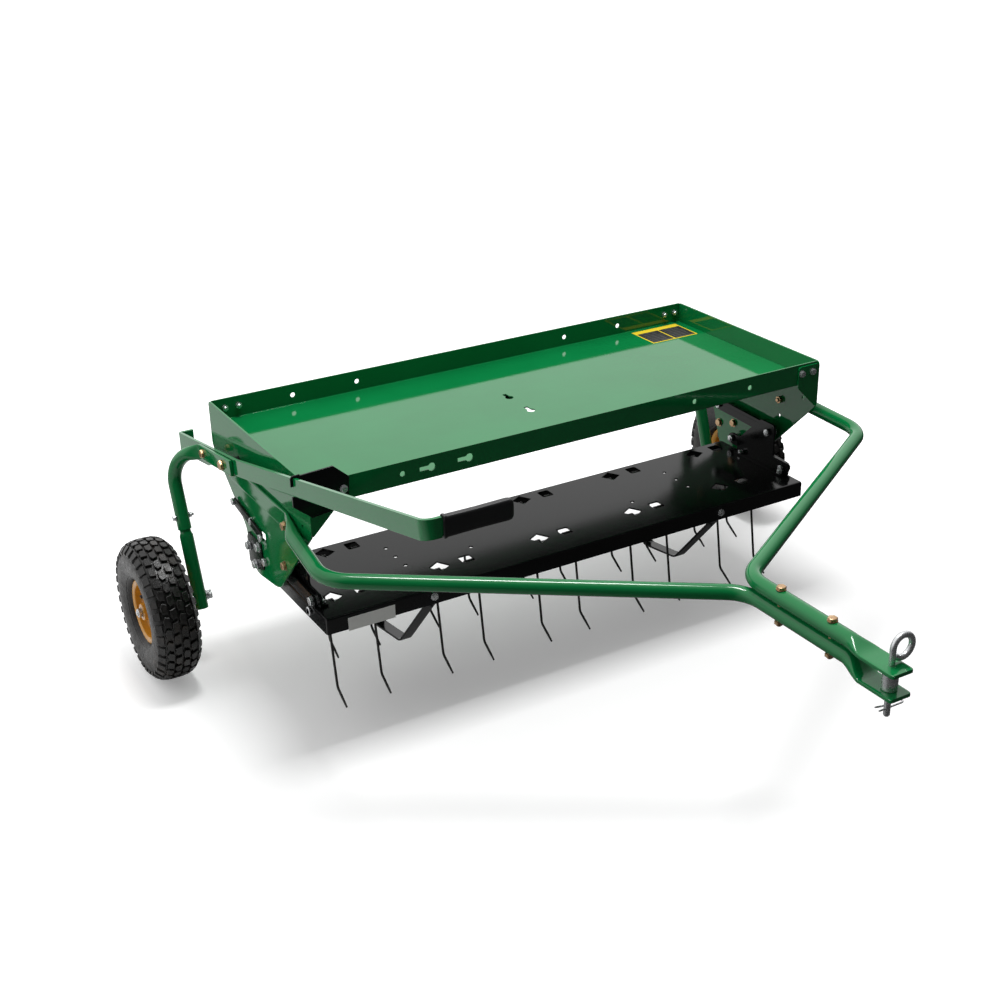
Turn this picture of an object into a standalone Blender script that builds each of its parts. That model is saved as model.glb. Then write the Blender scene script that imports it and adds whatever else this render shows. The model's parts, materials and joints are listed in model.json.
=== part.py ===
"""Tow-behind lawn dethatcher, modelled in metres.

The origin is on the ground under the middle of the machine. +X runs along the tray to the right-hand
wheel, -Y points forward to the hitch, +Z is up. The wheels are down, in the transport position.
"""

import math

import bmesh
import bpy
from mathutils import Matrix, Vector

# Driving dimensions -------------------------------------------------------------------------------
FIT_GAP = 0.0003
PLATE = 0.003
LEFT, RIGHT = -1, 1

RIM_Z = 0.497
TRAY_FRONT_Y, TRAY_BACK_Y = 0.106, 0.542
TRAY_HALF_WIDTH = 0.5214
TRAY_LIP = 0.042
TRAY_SHEET = 0.0025
END_PLATE_X = 0.5235
END_FLANGE_INNER_X = 0.475

DECK_HALF_WIDTH = 0.509
DECK_FRONT_Y, DECK_BACK_Y = 0.109, 0.361
DECK_TOP_Z = 0.249
DECK_FLANGE = 0.030

TINE_PITCH = 0.2065
TINE_ROWS = ((0.177, -0.027), (0.334, 0.030))
TINE_AXIS_Z = 0.234
TINE_KNEE = (-0.030, -0.144)
TINE_TIP = (-0.064, -0.166)
COIL_OFFSET = 0.027
FINGER_OFFSET = 0.042
COIL_INNER_RADIUS, COIL_OUTER_RADIUS = 0.0068, 0.0113
WIRE_RADIUS = 0.00225
ROD_RADIUS = 0.006

SKID_X = 0.308
SKID_WIDTH, SKID_THICKNESS = 0.022, 0.004

AXLE_Y, AXLE_Z = 0.509, 0.133
WHEEL_X = 0.674
AXLE_RADIUS = 0.006
HUB_RADIUS = 0.009

LIFT_Y, LIFT_Z = 0.412, 0.427
CLAMP_Y, CLAMP_Z = 0.511, 0.413
SHAFT_RADIUS = 0.009
SHAFT_HALF_LENGTH = 0.5435
ARM_X, ARM_THICKNESS = 0.547, 0.006
LEG_FLAT_X = 0.55315
LEG_X = 0.594
LEG_TOP = (0.591, 0.387)
LEG_SPLIT_Z = 0.257
SPIGOT_LENGTH = 0.031
TUBE_RADIUS = 0.0127
BOLT_RADIUS = 0.0045
BOLT_HOLE_RADIUS = 0.0052

UPPER_LINK = ((0.373, 0.326), (0.208, 0.321))
LOWER_LINK = ((0.326, 0.266), (0.161, 0.261))
LINK_END_RADIUS = 0.0115
LINK_X, LINK_THICKNESS = 0.5085, 0.005
BRACKET_X, BRACKET_THICKNESS = 0.501, 0.004

JAW_TIP_Y = -0.669
HITCH_Y = -0.646
CLAMP_BOLT_Y = (-0.416, -0.527)
UPPER_TUBE_Z, LOWER_TUBE_Z = 0.3845, 0.3575
UPPER_JAW_Z, LOWER_JAW_Z = 0.382, 0.344
JAW_THICKNESS = 0.006
PIN_RADIUS = 0.00475
PIN_EYE_RADIUS = 0.0175

# Cross-sections for lofts: half height, half width, squareness (1 is round, 0 is square).
ROUND_TUBE = (TUBE_RADIUS, TUBE_RADIUS, 1.0)
REAR_STRIP = (0.017, 0.0025, 0.3)
JAW = (JAW_THICKNESS / 2, 0.020, 0.3)
JAW_TIP = (JAW_THICKNESS / 2, 0.0175, 0.3)

# Colour, roughness, metallic.
FINISHES = {
    "green_paint": ((0.008, 0.14, 0.05), 0.25, 0.0),
    "black_paint": ((0.012, 0.012, 0.014), 0.3, 0.0),
    "grip_vinyl": ((0.015, 0.015, 0.015), 0.55, 0.0),
    "tyre_rubber": ((0.03, 0.028, 0.027), 0.85, 0.0),
    "rim_amber": ((0.75, 0.42, 0.07), 0.35, 0.0),
    "yellow_zinc": ((0.62, 0.5, 0.28), 0.35, 1.0),
    "silver_zinc": ((0.7, 0.71, 0.72), 0.25, 1.0),
    "spring_steel": ((0.02, 0.02, 0.022), 0.4, 0.6),
}


# Scene and materials ------------------------------------------------------------------------------
def clear_scene():
    for obj in list(bpy.data.objects):
        bpy.data.objects.remove(obj, do_unlink=True)


def new_collection(name):
    collection = bpy.data.collections.new(name)
    bpy.context.scene.collection.children.link(collection)
    return collection


clear_scene()
PARTS = new_collection("lawn_dethatcher")
CUTTERS = new_collection("cutters")


def make_material(name, finish):
    colour, roughness, metallic = FINISHES[finish]
    material = bpy.data.materials.new(name)
    material.use_nodes = True
    shader = material.node_tree.nodes["Principled BSDF"]
    shader.inputs["Base Color"].default_value = (*colour, 1.0)
    shader.inputs["Roughness"].default_value = roughness
    shader.inputs["Metallic"].default_value = metallic
    material.diffuse_color = (*colour, 1.0)
    return material


def add_part(name, mesh, finish):
    obj = bpy.data.objects.new(name, mesh)
    PARTS.objects.link(obj)
    mesh.materials.clear()
    mesh.materials.append(make_material(name, finish))
    return obj


def add_cutter(name, mesh):
    obj = bpy.data.objects.new(name, mesh)
    CUTTERS.objects.link(obj)
    obj.hide_render = True
    obj.display_type = "WIRE"
    return obj


# Modelling helpers --------------------------------------------------------------------------------
def smooth(mesh, angle=35.0):
    mesh.shade_smooth()
    mesh.set_sharp_from_angle(angle=math.radians(angle))
    return mesh


def mesh_from(bm, name):
    bmesh.ops.recalc_face_normals(bm, faces=bm.faces)
    mesh = bpy.data.meshes.new(name)
    bm.to_mesh(mesh)
    bm.free()
    return smooth(mesh)


def evaluated_mesh(obj):
    bpy.context.view_layer.update()
    return bpy.data.meshes.new_from_object(obj.evaluated_get(bpy.context.evaluated_depsgraph_get()))


def settle(obj):
    """Gives the object the mesh that its modifiers make, and drops them."""
    mesh = evaluated_mesh(obj)
    obj.modifiers.clear()
    obj.data = mesh


def curve_mesh(name, curve):
    """The closed mesh of a curve, with its caps welded on."""
    holder = bpy.data.objects.new(name, curve)
    CUTTERS.objects.link(holder)
    bm = bmesh.new()
    bm.from_mesh(evaluated_mesh(holder))
    bpy.data.objects.remove(holder)
    bmesh.ops.remove_doubles(bm, verts=bm.verts, dist=1e-5)
    return mesh_from(bm, name)


def boolean(obj, mesh, operation, tag):
    step = obj.modifiers.new(tag, "BOOLEAN")
    step.operation = operation
    step.object = add_cutter(obj.name + "_" + tag, mesh)
    step.solver = "EXACT"


def joined(name, meshes):
    """Several closed meshes in one, to cut with in one step."""
    bm = bmesh.new()
    for mesh in meshes:
        bm.from_mesh(mesh)
    return mesh_from(bm, name)


def cylinder(at, axis, radius, length, segments=16):
    """A cylinder whose middle is at the point, along the X, Y or Z axis or any direction."""
    directions = {"X": (1, 0, 0), "Y": (0, 1, 0), "Z": (0, 0, 1)}
    direction = Vector(directions.get(axis, axis)) if isinstance(axis, str) else Vector(axis)
    turn = direction.to_track_quat("Z", "Y").to_matrix().to_4x4()
    bm = bmesh.new()
    bmesh.ops.create_cone(
        bm, cap_ends=True, segments=segments, radius1=radius, radius2=radius,
        depth=length, matrix=Matrix.Translation(at) @ turn,
    )
    return mesh_from(bm, "cylinder")


def box(low, high):
    low, high = Vector(low), Vector(high)
    size = Matrix.Diagonal((*(high - low), 1.0))
    bm = bmesh.new()
    bmesh.ops.create_cube(bm, size=1.0, matrix=Matrix.Translation((low + high) / 2) @ size)
    return mesh_from(bm, "box")


def bored(obj, places, axis, radius, length, segments=16):
    """Drills the same round hole through the object at each place."""
    tools = [cylinder(place, axis, radius, length, segments) for place in places]
    boolean(obj, joined(obj.name + "_holes", tools), "DIFFERENCE", "holes")


# The axes that a flat drawing's first, second and thickness directions take in space.
PLANES = {
    "YZ": ((0, 1, 0), (0, 0, 1), (1, 0, 0)),
    "XZ": ((1, 0, 0), (0, 0, 1), (0, -1, 0)),
    "XY": ((1, 0, 0), (0, 1, 0), (0, 0, 1)),
}


def flat_mesh(name, outlines, plane, middle, thickness):
    """A flat plate from a filled 2D curve: the first outline is its edge, the others are holes."""
    curve = bpy.data.curves.new(name, "CURVE")
    curve.dimensions = "2D"
    curve.fill_mode = "BOTH"
    curve.extrude = thickness / 2
    for outline in outlines:
        spline = curve.splines.new("POLY")
        spline.points.add(len(outline) - 1)
        for point, (first, second) in zip(spline.points, outline):
            point.co = (first, second, 0.0, 1.0)
        spline.use_cyclic_u = True
    mesh = curve_mesh(name, curve)
    columns = PLANES[plane]
    stand = Matrix(columns).transposed().to_4x4()
    shift = Matrix.Translation([abs(value) * middle for value in columns[2]])
    mesh.transform(shift @ stand)
    return mesh


def wire_mesh(name, points, radius, resolution=2):
    """Round wire along its points."""
    curve = bpy.data.curves.new(name, "CURVE")
    curve.dimensions = "3D"
    curve.bevel_depth = radius
    curve.bevel_resolution = resolution
    curve.use_fill_caps = True
    spline = curve.splines.new("POLY")
    spline.points.add(len(points) - 1)
    for point, place in zip(spline.points, points):
        point.co = (*place, 1.0)
    return curve_mesh(name, curve)


def arc(centre, radius, start, end, steps):
    """Points of a flat arc, angles in degrees."""
    angles = [math.radians(start + (end - start) * step / steps) for step in range(steps + 1)]
    return [(centre[0] + radius * math.cos(a), centre[1] + radius * math.sin(a)) for a in angles]


def circle(centre, radius, steps=16):
    return arc(centre, radius, 0, 360 * (steps - 1) / steps, steps - 1)


def stadium(start, end, radius, steps=6):
    """A bar with round ends from one centre to the other."""
    heading = math.degrees(math.atan2(end[1] - start[1], end[0] - start[0]))
    return arc(end, radius, heading - 90, heading + 90, steps) + arc(
        start, radius, heading + 90, heading + 270, steps
    )


def keyhole(centre, radius, slot_half_width, slot_end):
    """A round hole with a narrow slot that runs from it in the drawing's second direction."""
    half = math.degrees(math.asin(slot_half_width / radius))
    top = 90 if slot_end > 0 else -90
    return arc(centre, radius, top + half, top + 360 - half, 10) + [
        (centre[0] + (slot_half_width if slot_end > 0 else -slot_half_width), centre[1] + slot_end),
        (centre[0] - (slot_half_width if slot_end > 0 else -slot_half_width), centre[1] + slot_end),
    ]


def softened(corners, radius, steps=3):
    """A flat outline whose corners are each replaced by a short curve."""
    points = []
    for index, corner in enumerate(corners):
        here = Vector(corner)
        back = Vector(corners[index - 1]) - here
        ahead = Vector(corners[(index + 1) % len(corners)]) - here
        reach = min(radius, back.length * 0.45, ahead.length * 0.45)
        start, end = here + back.normalized() * reach, here + ahead.normalized() * reach
        for step in range(steps + 1):
            t = step / steps
            points.append(tuple(start * (1 - t) ** 2 + here * (2 * t * (1 - t)) + end * t**2))
    return points


def turned_square(centre, side, angle):
    """A square hole turned by an angle in degrees."""
    return arc(centre, side / math.sqrt(2), angle, angle + 270, 3)


def bent_path(corners, radii, steps=6):
    """A path through its corners; each inner one is a true arc of its radius, or a plain point at 0."""
    points = [Vector(corners[0])]
    for before, here, after, radius in zip(corners, corners[1:], corners[2:], radii):
        before, here, after = Vector(before), Vector(here), Vector(after)
        if radius == 0:
            points.append(here)
            continue
        back, ahead = (before - here).normalized(), (after - here).normalized()
        half = back.angle(ahead) / 2
        middle = here + (back + ahead).normalized() * (radius / math.sin(half))
        start = here + back * (radius / math.tan(half)) - middle
        end = here + ahead * (radius / math.tan(half)) - middle
        sweep = start.angle(end)
        for step in range(steps + 1):
            t = step / steps
            spoke = start * math.sin((1 - t) * sweep) + end * math.sin(t * sweep)
            points.append(middle + spoke / math.sin(sweep))
    points.append(Vector(corners[-1]))
    return points


def mix(first, second, share):
    share = min(max(share, 0.0), 1.0)
    return tuple(a + (b - a) * share for a, b in zip(first, second))


def loft(name, path, section, hint, finish, sides=12):
    """A bar along a path. section(point) gives its half size along the hint, across it, and squareness."""
    bm = bmesh.new()
    loops = []
    for index, centre in enumerate(path):
        before, after = path[max(index - 1, 0)], path[min(index + 1, len(path) - 1)]
        tangent = ((centre - before).normalized() + (after - centre).normalized()).normalized()
        up = (Vector(hint) - tangent * tangent.dot(Vector(hint))).normalized()
        across = tangent.cross(up)
        half_up, half_across, squareness = section(centre)
        loop = []
        for side in range(sides):
            angle = 2 * math.pi * (side + 0.5) / sides
            c, s = math.cos(angle), math.sin(angle)
            offset_up = half_up * math.copysign(abs(c) ** squareness, c)
            offset_across = half_across * math.copysign(abs(s) ** squareness, s)
            loop.append(bm.verts.new(centre + up * offset_up + across * offset_across))
        loops.append(loop)
    for first, second in zip(loops, loops[1:]):
        for side in range(sides):
            following = (side + 1) % sides
            bm.faces.new((first[side], first[following], second[following], second[side]))
    bm.faces.new(loops[0])
    bm.faces.new(loops[-1])
    return add_part(name, mesh_from(bm, name), finish)


def turned(name, profile, finish, at, axis="X", side=RIGHT, steps=16, ring=False):
    """A lathe-turned piece. The profile is (distance along the axis, radius) with its outer side first.

    The distance runs outwards from the middle along X, on the given side, or downwards along Z.
    A ring's profile closes on itself; a solid's starts and ends on the axis.
    """
    if side == LEFT:
        profile = [(-along, radius) for along, radius in reversed(profile)]
    bm = bmesh.new()
    verts = [bm.verts.new((radius, 0.0, -along)) for along, radius in profile]
    for first, second in zip(verts, verts[1:]):
        bm.edges.new((first, second))
    if ring:
        bm.edges.new((verts[-1], verts[0]))
    mesh = bpy.data.meshes.new(name)
    bm.to_mesh(mesh)
    bm.free()
    obj = add_part(name, mesh, finish)
    screw = obj.modifiers.new("turn", "SCREW")
    screw.axis = "Z"
    screw.steps = steps
    screw.render_steps = steps
    screw.use_merge_vertices = True
    screw.merge_threshold = 0.00005
    obj.location = at
    if axis == "X":
        obj.rotation_euler = (0.0, math.radians(-90), 0.0)
    settle(obj)
    smooth(obj.data)
    return obj


def sleeve_profile(start, end, inner, outer):
    return [(start, outer), (end, outer), (end, inner), (start, inner)]


def stepped_profile(stations):
    """A solid's profile from (start, end, radius) stations in order along the axis."""
    points = [(stations[0][0], 0.0)]
    for start, end, radius in stations:
        points += [(start, radius), (end, radius)]
    return points + [(stations[-1][1], 0.0)]


def bend_sheet(obj, thickness, radius):
    """Rounds the sheet's folds and gives it its thickness on the inner side."""
    bevel = obj.modifiers.new("folds", "BEVEL")
    bevel.width = radius
    bevel.segments = 2
    bevel.limit_method = "ANGLE"
    shell = obj.modifiers.new("sheet", "SOLIDIFY")
    shell.thickness = thickness
    shell.offset = -1.0
    shell.use_even_offset = True


def axis_empty(name, at, children):
    """An empty on a joint's axis, as the parent of the pieces that turn there."""
    empty = bpy.data.objects.new(name, None)
    PARTS.objects.link(empty)
    empty.location = at
    empty.empty_display_size = 0.03
    bpy.context.view_layer.update()
    for child in children:
        child.parent = empty
        child.matrix_parent_inverse = empty.matrix_world.inverted()


def side_name(base, side):
    return base + ("_left" if side == LEFT else "_right")


# Frame: tray and end plates -----------------------------------------------------------------------
def make_tray():
    """The weight tray: a floor with a front and a back lip, open at the ends where the plates go."""
    floor_z = RIM_Z - TRAY_LIP
    profile = [
        (TRAY_FRONT_Y, RIM_Z), (TRAY_FRONT_Y, floor_z), (TRAY_BACK_Y, floor_z), (TRAY_BACK_Y, RIM_Z),
    ]
    bm = bmesh.new()
    rows = [[bm.verts.new((x, y, z)) for y, z in profile] for x in (-TRAY_HALF_WIDTH, TRAY_HALF_WIDTH)]
    for index in range(len(profile) - 1):
        bm.faces.new((rows[0][index], rows[0][index + 1], rows[1][index + 1], rows[1][index]))
    mesh = bpy.data.meshes.new("tray")
    bm.to_mesh(mesh)
    bm.free()
    tray = add_part("tray", mesh, "green_paint")
    bend_sheet(tray, TRAY_SHEET, 0.004)

    hole_z = RIM_Z - 0.021
    lip_holes = []
    for x in (-0.304, -0.233):
        upright = keyhole((x, hole_z), 0.0072, 0.0035, -0.022)
        lip_holes.append([(x + v - hole_z, hole_z + u - x) for u, v in upright])
    lip_holes += [circle((x, hole_z), 0.0048, 12) for x in (-0.3575, 0.234, 0.361)]
    back_holes = [circle((x, hole_z), 0.0048, 12) for x in (-0.364, -0.233, 0.233, 0.364)]
    floor_holes = [keyhole((-0.011, y), 0.008, 0.004, 0.020) for y in (0.272, 0.349)]
    tools = [flat_mesh("tool", [outline], "XZ", TRAY_FRONT_Y, 0.02) for outline in lip_holes]
    tools += [flat_mesh("tool", [outline], "XZ", TRAY_BACK_Y, 0.02) for outline in back_holes]
    tools += [flat_mesh("tool", [outline], "XY", floor_z, 0.02) for outline in floor_holes]
    boolean(tray, joined("tray_holes", tools), "DIFFERENCE", "holes")


def make_end_plate(side):
    """The side plate that closes the tray and carries the deck links, lift shaft and drawbar."""
    front_y = TRAY_FRONT_Y - FIT_GAP - PLATE
    back_y = TRAY_BACK_Y + FIT_GAP + PLATE
    edge = softened(
        [(front_y, RIM_Z), (front_y, 0.407), (0.264, 0.243), (0.284, 0.237), (0.366, 0.226),
         (0.386, 0.234), (0.409, 0.304), (back_y, 0.412), (back_y, RIM_Z)], 0.009,
    )
    inner_holes = [
        circle((LIFT_Y, LIFT_Z), SHAFT_RADIUS + 0.001),
        circle(UPPER_LINK[0], BOLT_HOLE_RADIUS, 12),
        circle(LOWER_LINK[0], BOLT_HOLE_RADIUS, 12),
        [(0.314, 0.309), (0.337, 0.309), (0.337, 0.325), (0.314, 0.325)],
    ]
    inner_holes += [circle(place, 0.0035, 10) for place in ((0.204, 0.354), (0.139, 0.412), (0.397, 0.336))]
    name = side_name("end_plate", side)
    plate = add_part(
        name, flat_mesh(name, [edge] + inner_holes, "YZ", side * END_PLATE_X, PLATE), "green_paint"
    )
    outer, inner = side * END_PLATE_X, side * END_FLANGE_INNER_X
    front = [(outer, RIM_Z - 0.004), (inner, RIM_Z - 0.004), (inner, 0.452), (outer, 0.404)]
    front_flange = flat_mesh("flange", [softened(front, 0.006)], "XZ", front_y + PLATE / 2, PLATE)
    back = [(outer, RIM_Z - 0.004), (inner, RIM_Z - 0.004), (inner, 0.457), (outer, 0.440)]
    back_flange = flat_mesh("flange", [softened(back, 0.006)], "XZ", back_y - PLATE / 2, PLATE)
    boolean(plate, front_flange, "UNION", "front_flange")
    boolean(plate, back_flange, "UNION", "back_flange")


def make_latch_plate():
    """The notched plate whose ledge holds the lift handle in the transport position."""
    edge = [
        (-0.5435, 0.519), (-0.481, 0.522), (-0.455, 0.4985), (-0.457, 0.468), (-0.477, 0.447),
        (-0.522, 0.442), (-0.553, 0.468), (-0.553, 0.485), (-0.5435, 0.485),
    ]
    thickness = 0.0035
    middle_y = TRAY_FRONT_Y - 2 * FIT_GAP - PLATE - thickness / 2
    add_part("latch_plate", flat_mesh("latch_plate", [edge], "XZ", middle_y, thickness), "black_paint")


# Lift: handle, shaft and legs ---------------------------------------------------------------------
def make_lift_handle():
    """The flat bar on edge: a bent tab behind, the lift shaft near the back, the grip stub in front."""
    path = bent_path(
        [(-0.521, 0.666, 0.3805), (-ARM_X, 0.666, 0.3805), (-ARM_X, 0.510, 0.408),
         (-ARM_X, 0.488, 0.4158), (-ARM_X, 0.362, 0.438), (-ARM_X, -0.342, 0.608),
         (-0.5235, -0.342, 0.608), (-0.5225, -0.342, 0.608), (-0.424, -0.342, 0.608)],
        [0.007, 0, 0, 0, 0.016, 0, 0],
    )

    def section(point):
        half_height = 0.019 if point.y > 0.505 else 0.015
        if point.x > -0.523 and point.y < 0:
            half_height = 0.011
        return (half_height, ARM_THICKNESS / 2, 0.12)

    handle = loft("lift_handle", path, section, (0, 0, 1), "green_paint", sides=8)
    places = [(-ARM_X, LIFT_Y, LIFT_Z), (-ARM_X, CLAMP_Y, CLAMP_Z)]
    bored(handle, places, "X", BOLT_HOLE_RADIUS, 0.02, 12)


def make_handle_grip():
    """The vinyl sleeve on the handle's stub, with a blind pocket for the bar."""
    grip = add_part("handle_grip", box((-0.522, -0.349, 0.591), (-0.415, -0.335, 0.625)), "grip_vinyl")
    bevel = grip.modifiers.new("soft_edges", "BEVEL")
    bevel.width = 0.0055
    bevel.segments = 3
    pocket = box((-0.530, -0.3454, 0.5966), (-0.4225, -0.3386, 0.6194))
    boolean(grip, pocket, "DIFFERENCE", "pocket")
    smooth(grip.data)


def make_lift_arm():
    """The short bar that clamps the right leg to the shaft as the handle bar does on the left."""
    edge = stadium((0.398, 0.4292), (0.520, 0.4118), 0.015)
    holes = [circle(place, BOLT_HOLE_RADIUS, 12) for place in ((LIFT_Y, LIFT_Z), (CLAMP_Y, CLAMP_Z))]
    mesh = flat_mesh("lift_arm_right", [edge] + holes, "YZ", ARM_X, ARM_THICKNESS)
    add_part("lift_arm_right", mesh, "green_paint")


def make_lift_shaft():
    profile = stepped_profile([(-SHAFT_HALF_LENGTH, SHAFT_HALF_LENGTH, SHAFT_RADIUS)])
    shaft = turned("lift_shaft", profile, "black_paint", (0, LIFT_Y, LIFT_Z))
    depth = 0.022
    ends = [(side * (SHAFT_HALF_LENGTH - depth / 2 + 0.005), LIFT_Y, LIFT_Z) for side in (LEFT, RIGHT)]
    bored(shaft, ends, "X", BOLT_HOLE_RADIUS, depth + 0.010, 12)


def leg_direction():
    return Vector((0, AXLE_Y - LEG_TOP[0], AXLE_Z - LEG_TOP[1])).normalized()


def leg_point(side, z):
    """A point on the straight lower run of the leg."""
    heading = leg_direction()
    return Vector((side * LEG_X, *LEG_TOP)) + heading * ((z - LEG_TOP[1]) / heading.z)


def make_leg_upper(side):
    """The tube from the clamp plate, bent down; its lower end is open for the lower tube's spigot."""
    path = bent_path(
        [(side * LEG_FLAT_X, 0.372, 0.4345), (side * LEG_FLAT_X, 0.530, 0.410),
         (side * LEG_X, *LEG_TOP), leg_point(side, LEG_SPLIT_Z)],
        [0.015, 0.055],
    )
    flat = (0.00285, 0.014, 0.3)

    def section(point):
        return mix(flat, ROUND_TUBE, (abs(point.x) - LEG_FLAT_X - 0.001) / 0.018)

    leg = loft(side_name("leg_upper", side), path, section, (1, 0, 0), "green_paint")
    places = [(side * LEG_FLAT_X, LIFT_Y, LIFT_Z), (side * LEG_FLAT_X, CLAMP_Y, CLAMP_Z)]
    bored(leg, places, "X", BOLT_HOLE_RADIUS, 0.02, 12)
    depth = SPIGOT_LENGTH + 0.003
    middle = leg_point(side, LEG_SPLIT_Z) - leg_direction() * (depth / 2 - 0.005)
    tool = cylinder(middle, leg_direction(), 0.0109, depth + 0.010)
    boolean(leg, tool, "DIFFERENCE", "socket")


def make_leg_lower(side):
    """The lower tube: a narrower spigot on top, the axle hole near the bottom."""
    heading = leg_direction()
    end = leg_point(side, AXLE_Z) + heading * 0.023
    shoulder = leg_point(side, LEG_SPLIT_Z) + heading * 0.0005
    path = [shoulder - heading * SPIGOT_LENGTH, shoulder, shoulder + heading * 0.0004, end]

    def section(point):
        return mix((0.0102, 0.0102, 1.0), ROUND_TUBE, (shoulder.z - point.z) / 0.0003)

    leg = loft(side_name("leg_lower", side), path, section, (1, 0, 0), "green_paint")
    bored(leg, [(side * LEG_X, AXLE_Y, AXLE_Z)], "X", AXLE_RADIUS + 0.0008, 0.04)


def make_lift_bolts(side):
    """The bolt into the shaft's end, and the through bolt and nut that clamp leg and bar."""
    head_x = LEG_FLAT_X + 0.00315
    pivot = [(SHAFT_HALF_LENGTH - 0.019, head_x, BOLT_RADIUS), (head_x, head_x + 0.006, 0.009)]
    turned(side_name("pivot_bolt", side), stepped_profile(pivot), "yellow_zinc",
           (0, LIFT_Y, LIFT_Z), side=side, steps=12)
    nut_x = ARM_X - ARM_THICKNESS / 2 - FIT_GAP
    clamp = [(nut_x - 0.008, nut_x - 0.006, BOLT_RADIUS), (nut_x - 0.006, nut_x, 0.0075),
             (nut_x, head_x, BOLT_RADIUS), (head_x, head_x + 0.0055, 0.008)]
    turned(side_name("leg_clamp_bolt", side), stepped_profile(clamp), "yellow_zinc",
           (0, CLAMP_Y, CLAMP_Z), side=side, steps=12)


# Wheels -------------------------------------------------------------------------------------------
def mirrored_profile(half):
    """A profile's points for the inboard half, then the same for the outboard half."""
    return half + [(-along, radius) for along, radius in reversed(half) if along != 0]


def make_wheel(side):
    """Tyre, rim and hub bushing, all turned about the axle."""
    at = (side * WHEEL_X, AXLE_Y, AXLE_Z)
    outside = [(-0.0258, 0.0525), (-0.0258, 0.0608), (-0.034, 0.066), (-0.0405, 0.080), (-0.042, 0.095),
               (-0.0400, 0.112), (-0.0365, 0.122), (-0.027, 0.1295), (-0.010, 0.133)]
    inside = [(0.018, 0.0525), (0.022, 0.066), (0.033, 0.080), (0.0345, 0.095), (0.031, 0.114),
              (0.012, 0.124)]
    tyre = mirrored_profile(outside) + mirrored_profile(inside)
    turned(side_name("tyre", side), tyre, "tyre_rubber", at, side=side, steps=32, ring=True)

    rim = [
        (-0.029, 0.0585), (-0.0262, 0.060), (-0.0262, 0.0515), (0.0262, 0.0515), (0.0262, 0.060),
        (0.029, 0.0585), (0.0285, 0.0495), (0.012, 0.047), (0.009, 0.034), (0.014, 0.020), (0.0305, 0.0165),
        (0.0305, 0.0095), (-0.0305, 0.0095), (-0.0305, 0.0165), (0.009, 0.020), (0.005, 0.034),
        (0.008, 0.048), (-0.0285, 0.0495),
    ]
    turned(side_name("rim", side), rim, "rim_amber", at, side=side, steps=24, ring=True)

    axle_at = (0, AXLE_Y, AXLE_Z)
    hub_end = WHEEL_X + 0.0305
    bushing = sleeve_profile(LEG_X + TUBE_RADIUS + 0.0005, hub_end, AXLE_RADIUS + 0.00045, HUB_RADIUS)
    turned(side_name("wheel_bushing", side), bushing, "silver_zinc", axle_at, side=side, steps=24, ring=True)

    head_x = LEG_X - TUBE_RADIUS - 0.0008
    bolt = [(head_x - 0.0095, head_x, 0.0095), (head_x, hub_end + 0.0004, AXLE_RADIUS),
            (hub_end + 0.0004, hub_end + 0.008, 0.0095), (hub_end + 0.008, hub_end + 0.010, 0.005)]
    turned(side_name("axle_bolt", side), stepped_profile(bolt), "silver_zinc", axle_at, side=side, steps=12)


# Tine deck ----------------------------------------------------------------------------------------
def tine_places():
    """The middle of each double tine, front row first, left to right."""
    return [(step * TINE_PITCH + offset, y) for y, offset in TINE_ROWS for step in range(-2, 3)]


def make_deck():
    """The folded pan over the tines, with a diamond and an oblong cut-out above each spring's coils."""
    bm = bmesh.new()
    low = Vector((-DECK_HALF_WIDTH, DECK_FRONT_Y, DECK_TOP_Z - DECK_FLANGE))
    high = Vector((DECK_HALF_WIDTH, DECK_BACK_Y, DECK_TOP_Z))
    size = Matrix.Diagonal((*(high - low), 1.0))
    bmesh.ops.create_cube(bm, size=1.0, matrix=Matrix.Translation((low + high) / 2) @ size)
    bottom = [face for face in bm.faces if face.normal.z < -0.5]
    bmesh.ops.delete(bm, geom=bottom, context="FACES_ONLY")
    mesh = bpy.data.meshes.new("deck")
    bm.to_mesh(mesh)
    bm.free()
    deck = add_part("deck", mesh, "black_paint")
    bend_sheet(deck, PLATE, 0.004)

    outlines = []
    for x, y in tine_places():
        outlines.append(turned_square((x - COIL_OFFSET, y), 0.027, 75))
        left, right = x + COIL_OFFSET - 0.012, x + COIL_OFFSET + 0.012
        oblong = [(left, y - 0.013), (right, y - 0.013), (right, y + 0.013), (left, y + 0.013)]
        outlines.append(softened(oblong, 0.004, 2))
    for side in (LEFT, RIGHT):
        outlines += [circle((side * 0.309, y), 0.004, 10) for y in (0.291, 0.252, 0.213)]
        outlines.append(circle((side * 0.177, 0.213), 0.004, 10))
    tools = [flat_mesh("tool", [outline], "XY", DECK_TOP_Z, 0.02) for outline in outlines]
    tools += [cylinder((side * DECK_HALF_WIDTH, y, TINE_AXIS_Z), "X", ROD_RADIUS + 0.0007, 0.02)
              for side in (LEFT, RIGHT) for y, _ in TINE_ROWS]
    boolean(deck, joined("deck_holes", tools), "DIFFERENCE", "cut_outs")


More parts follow.
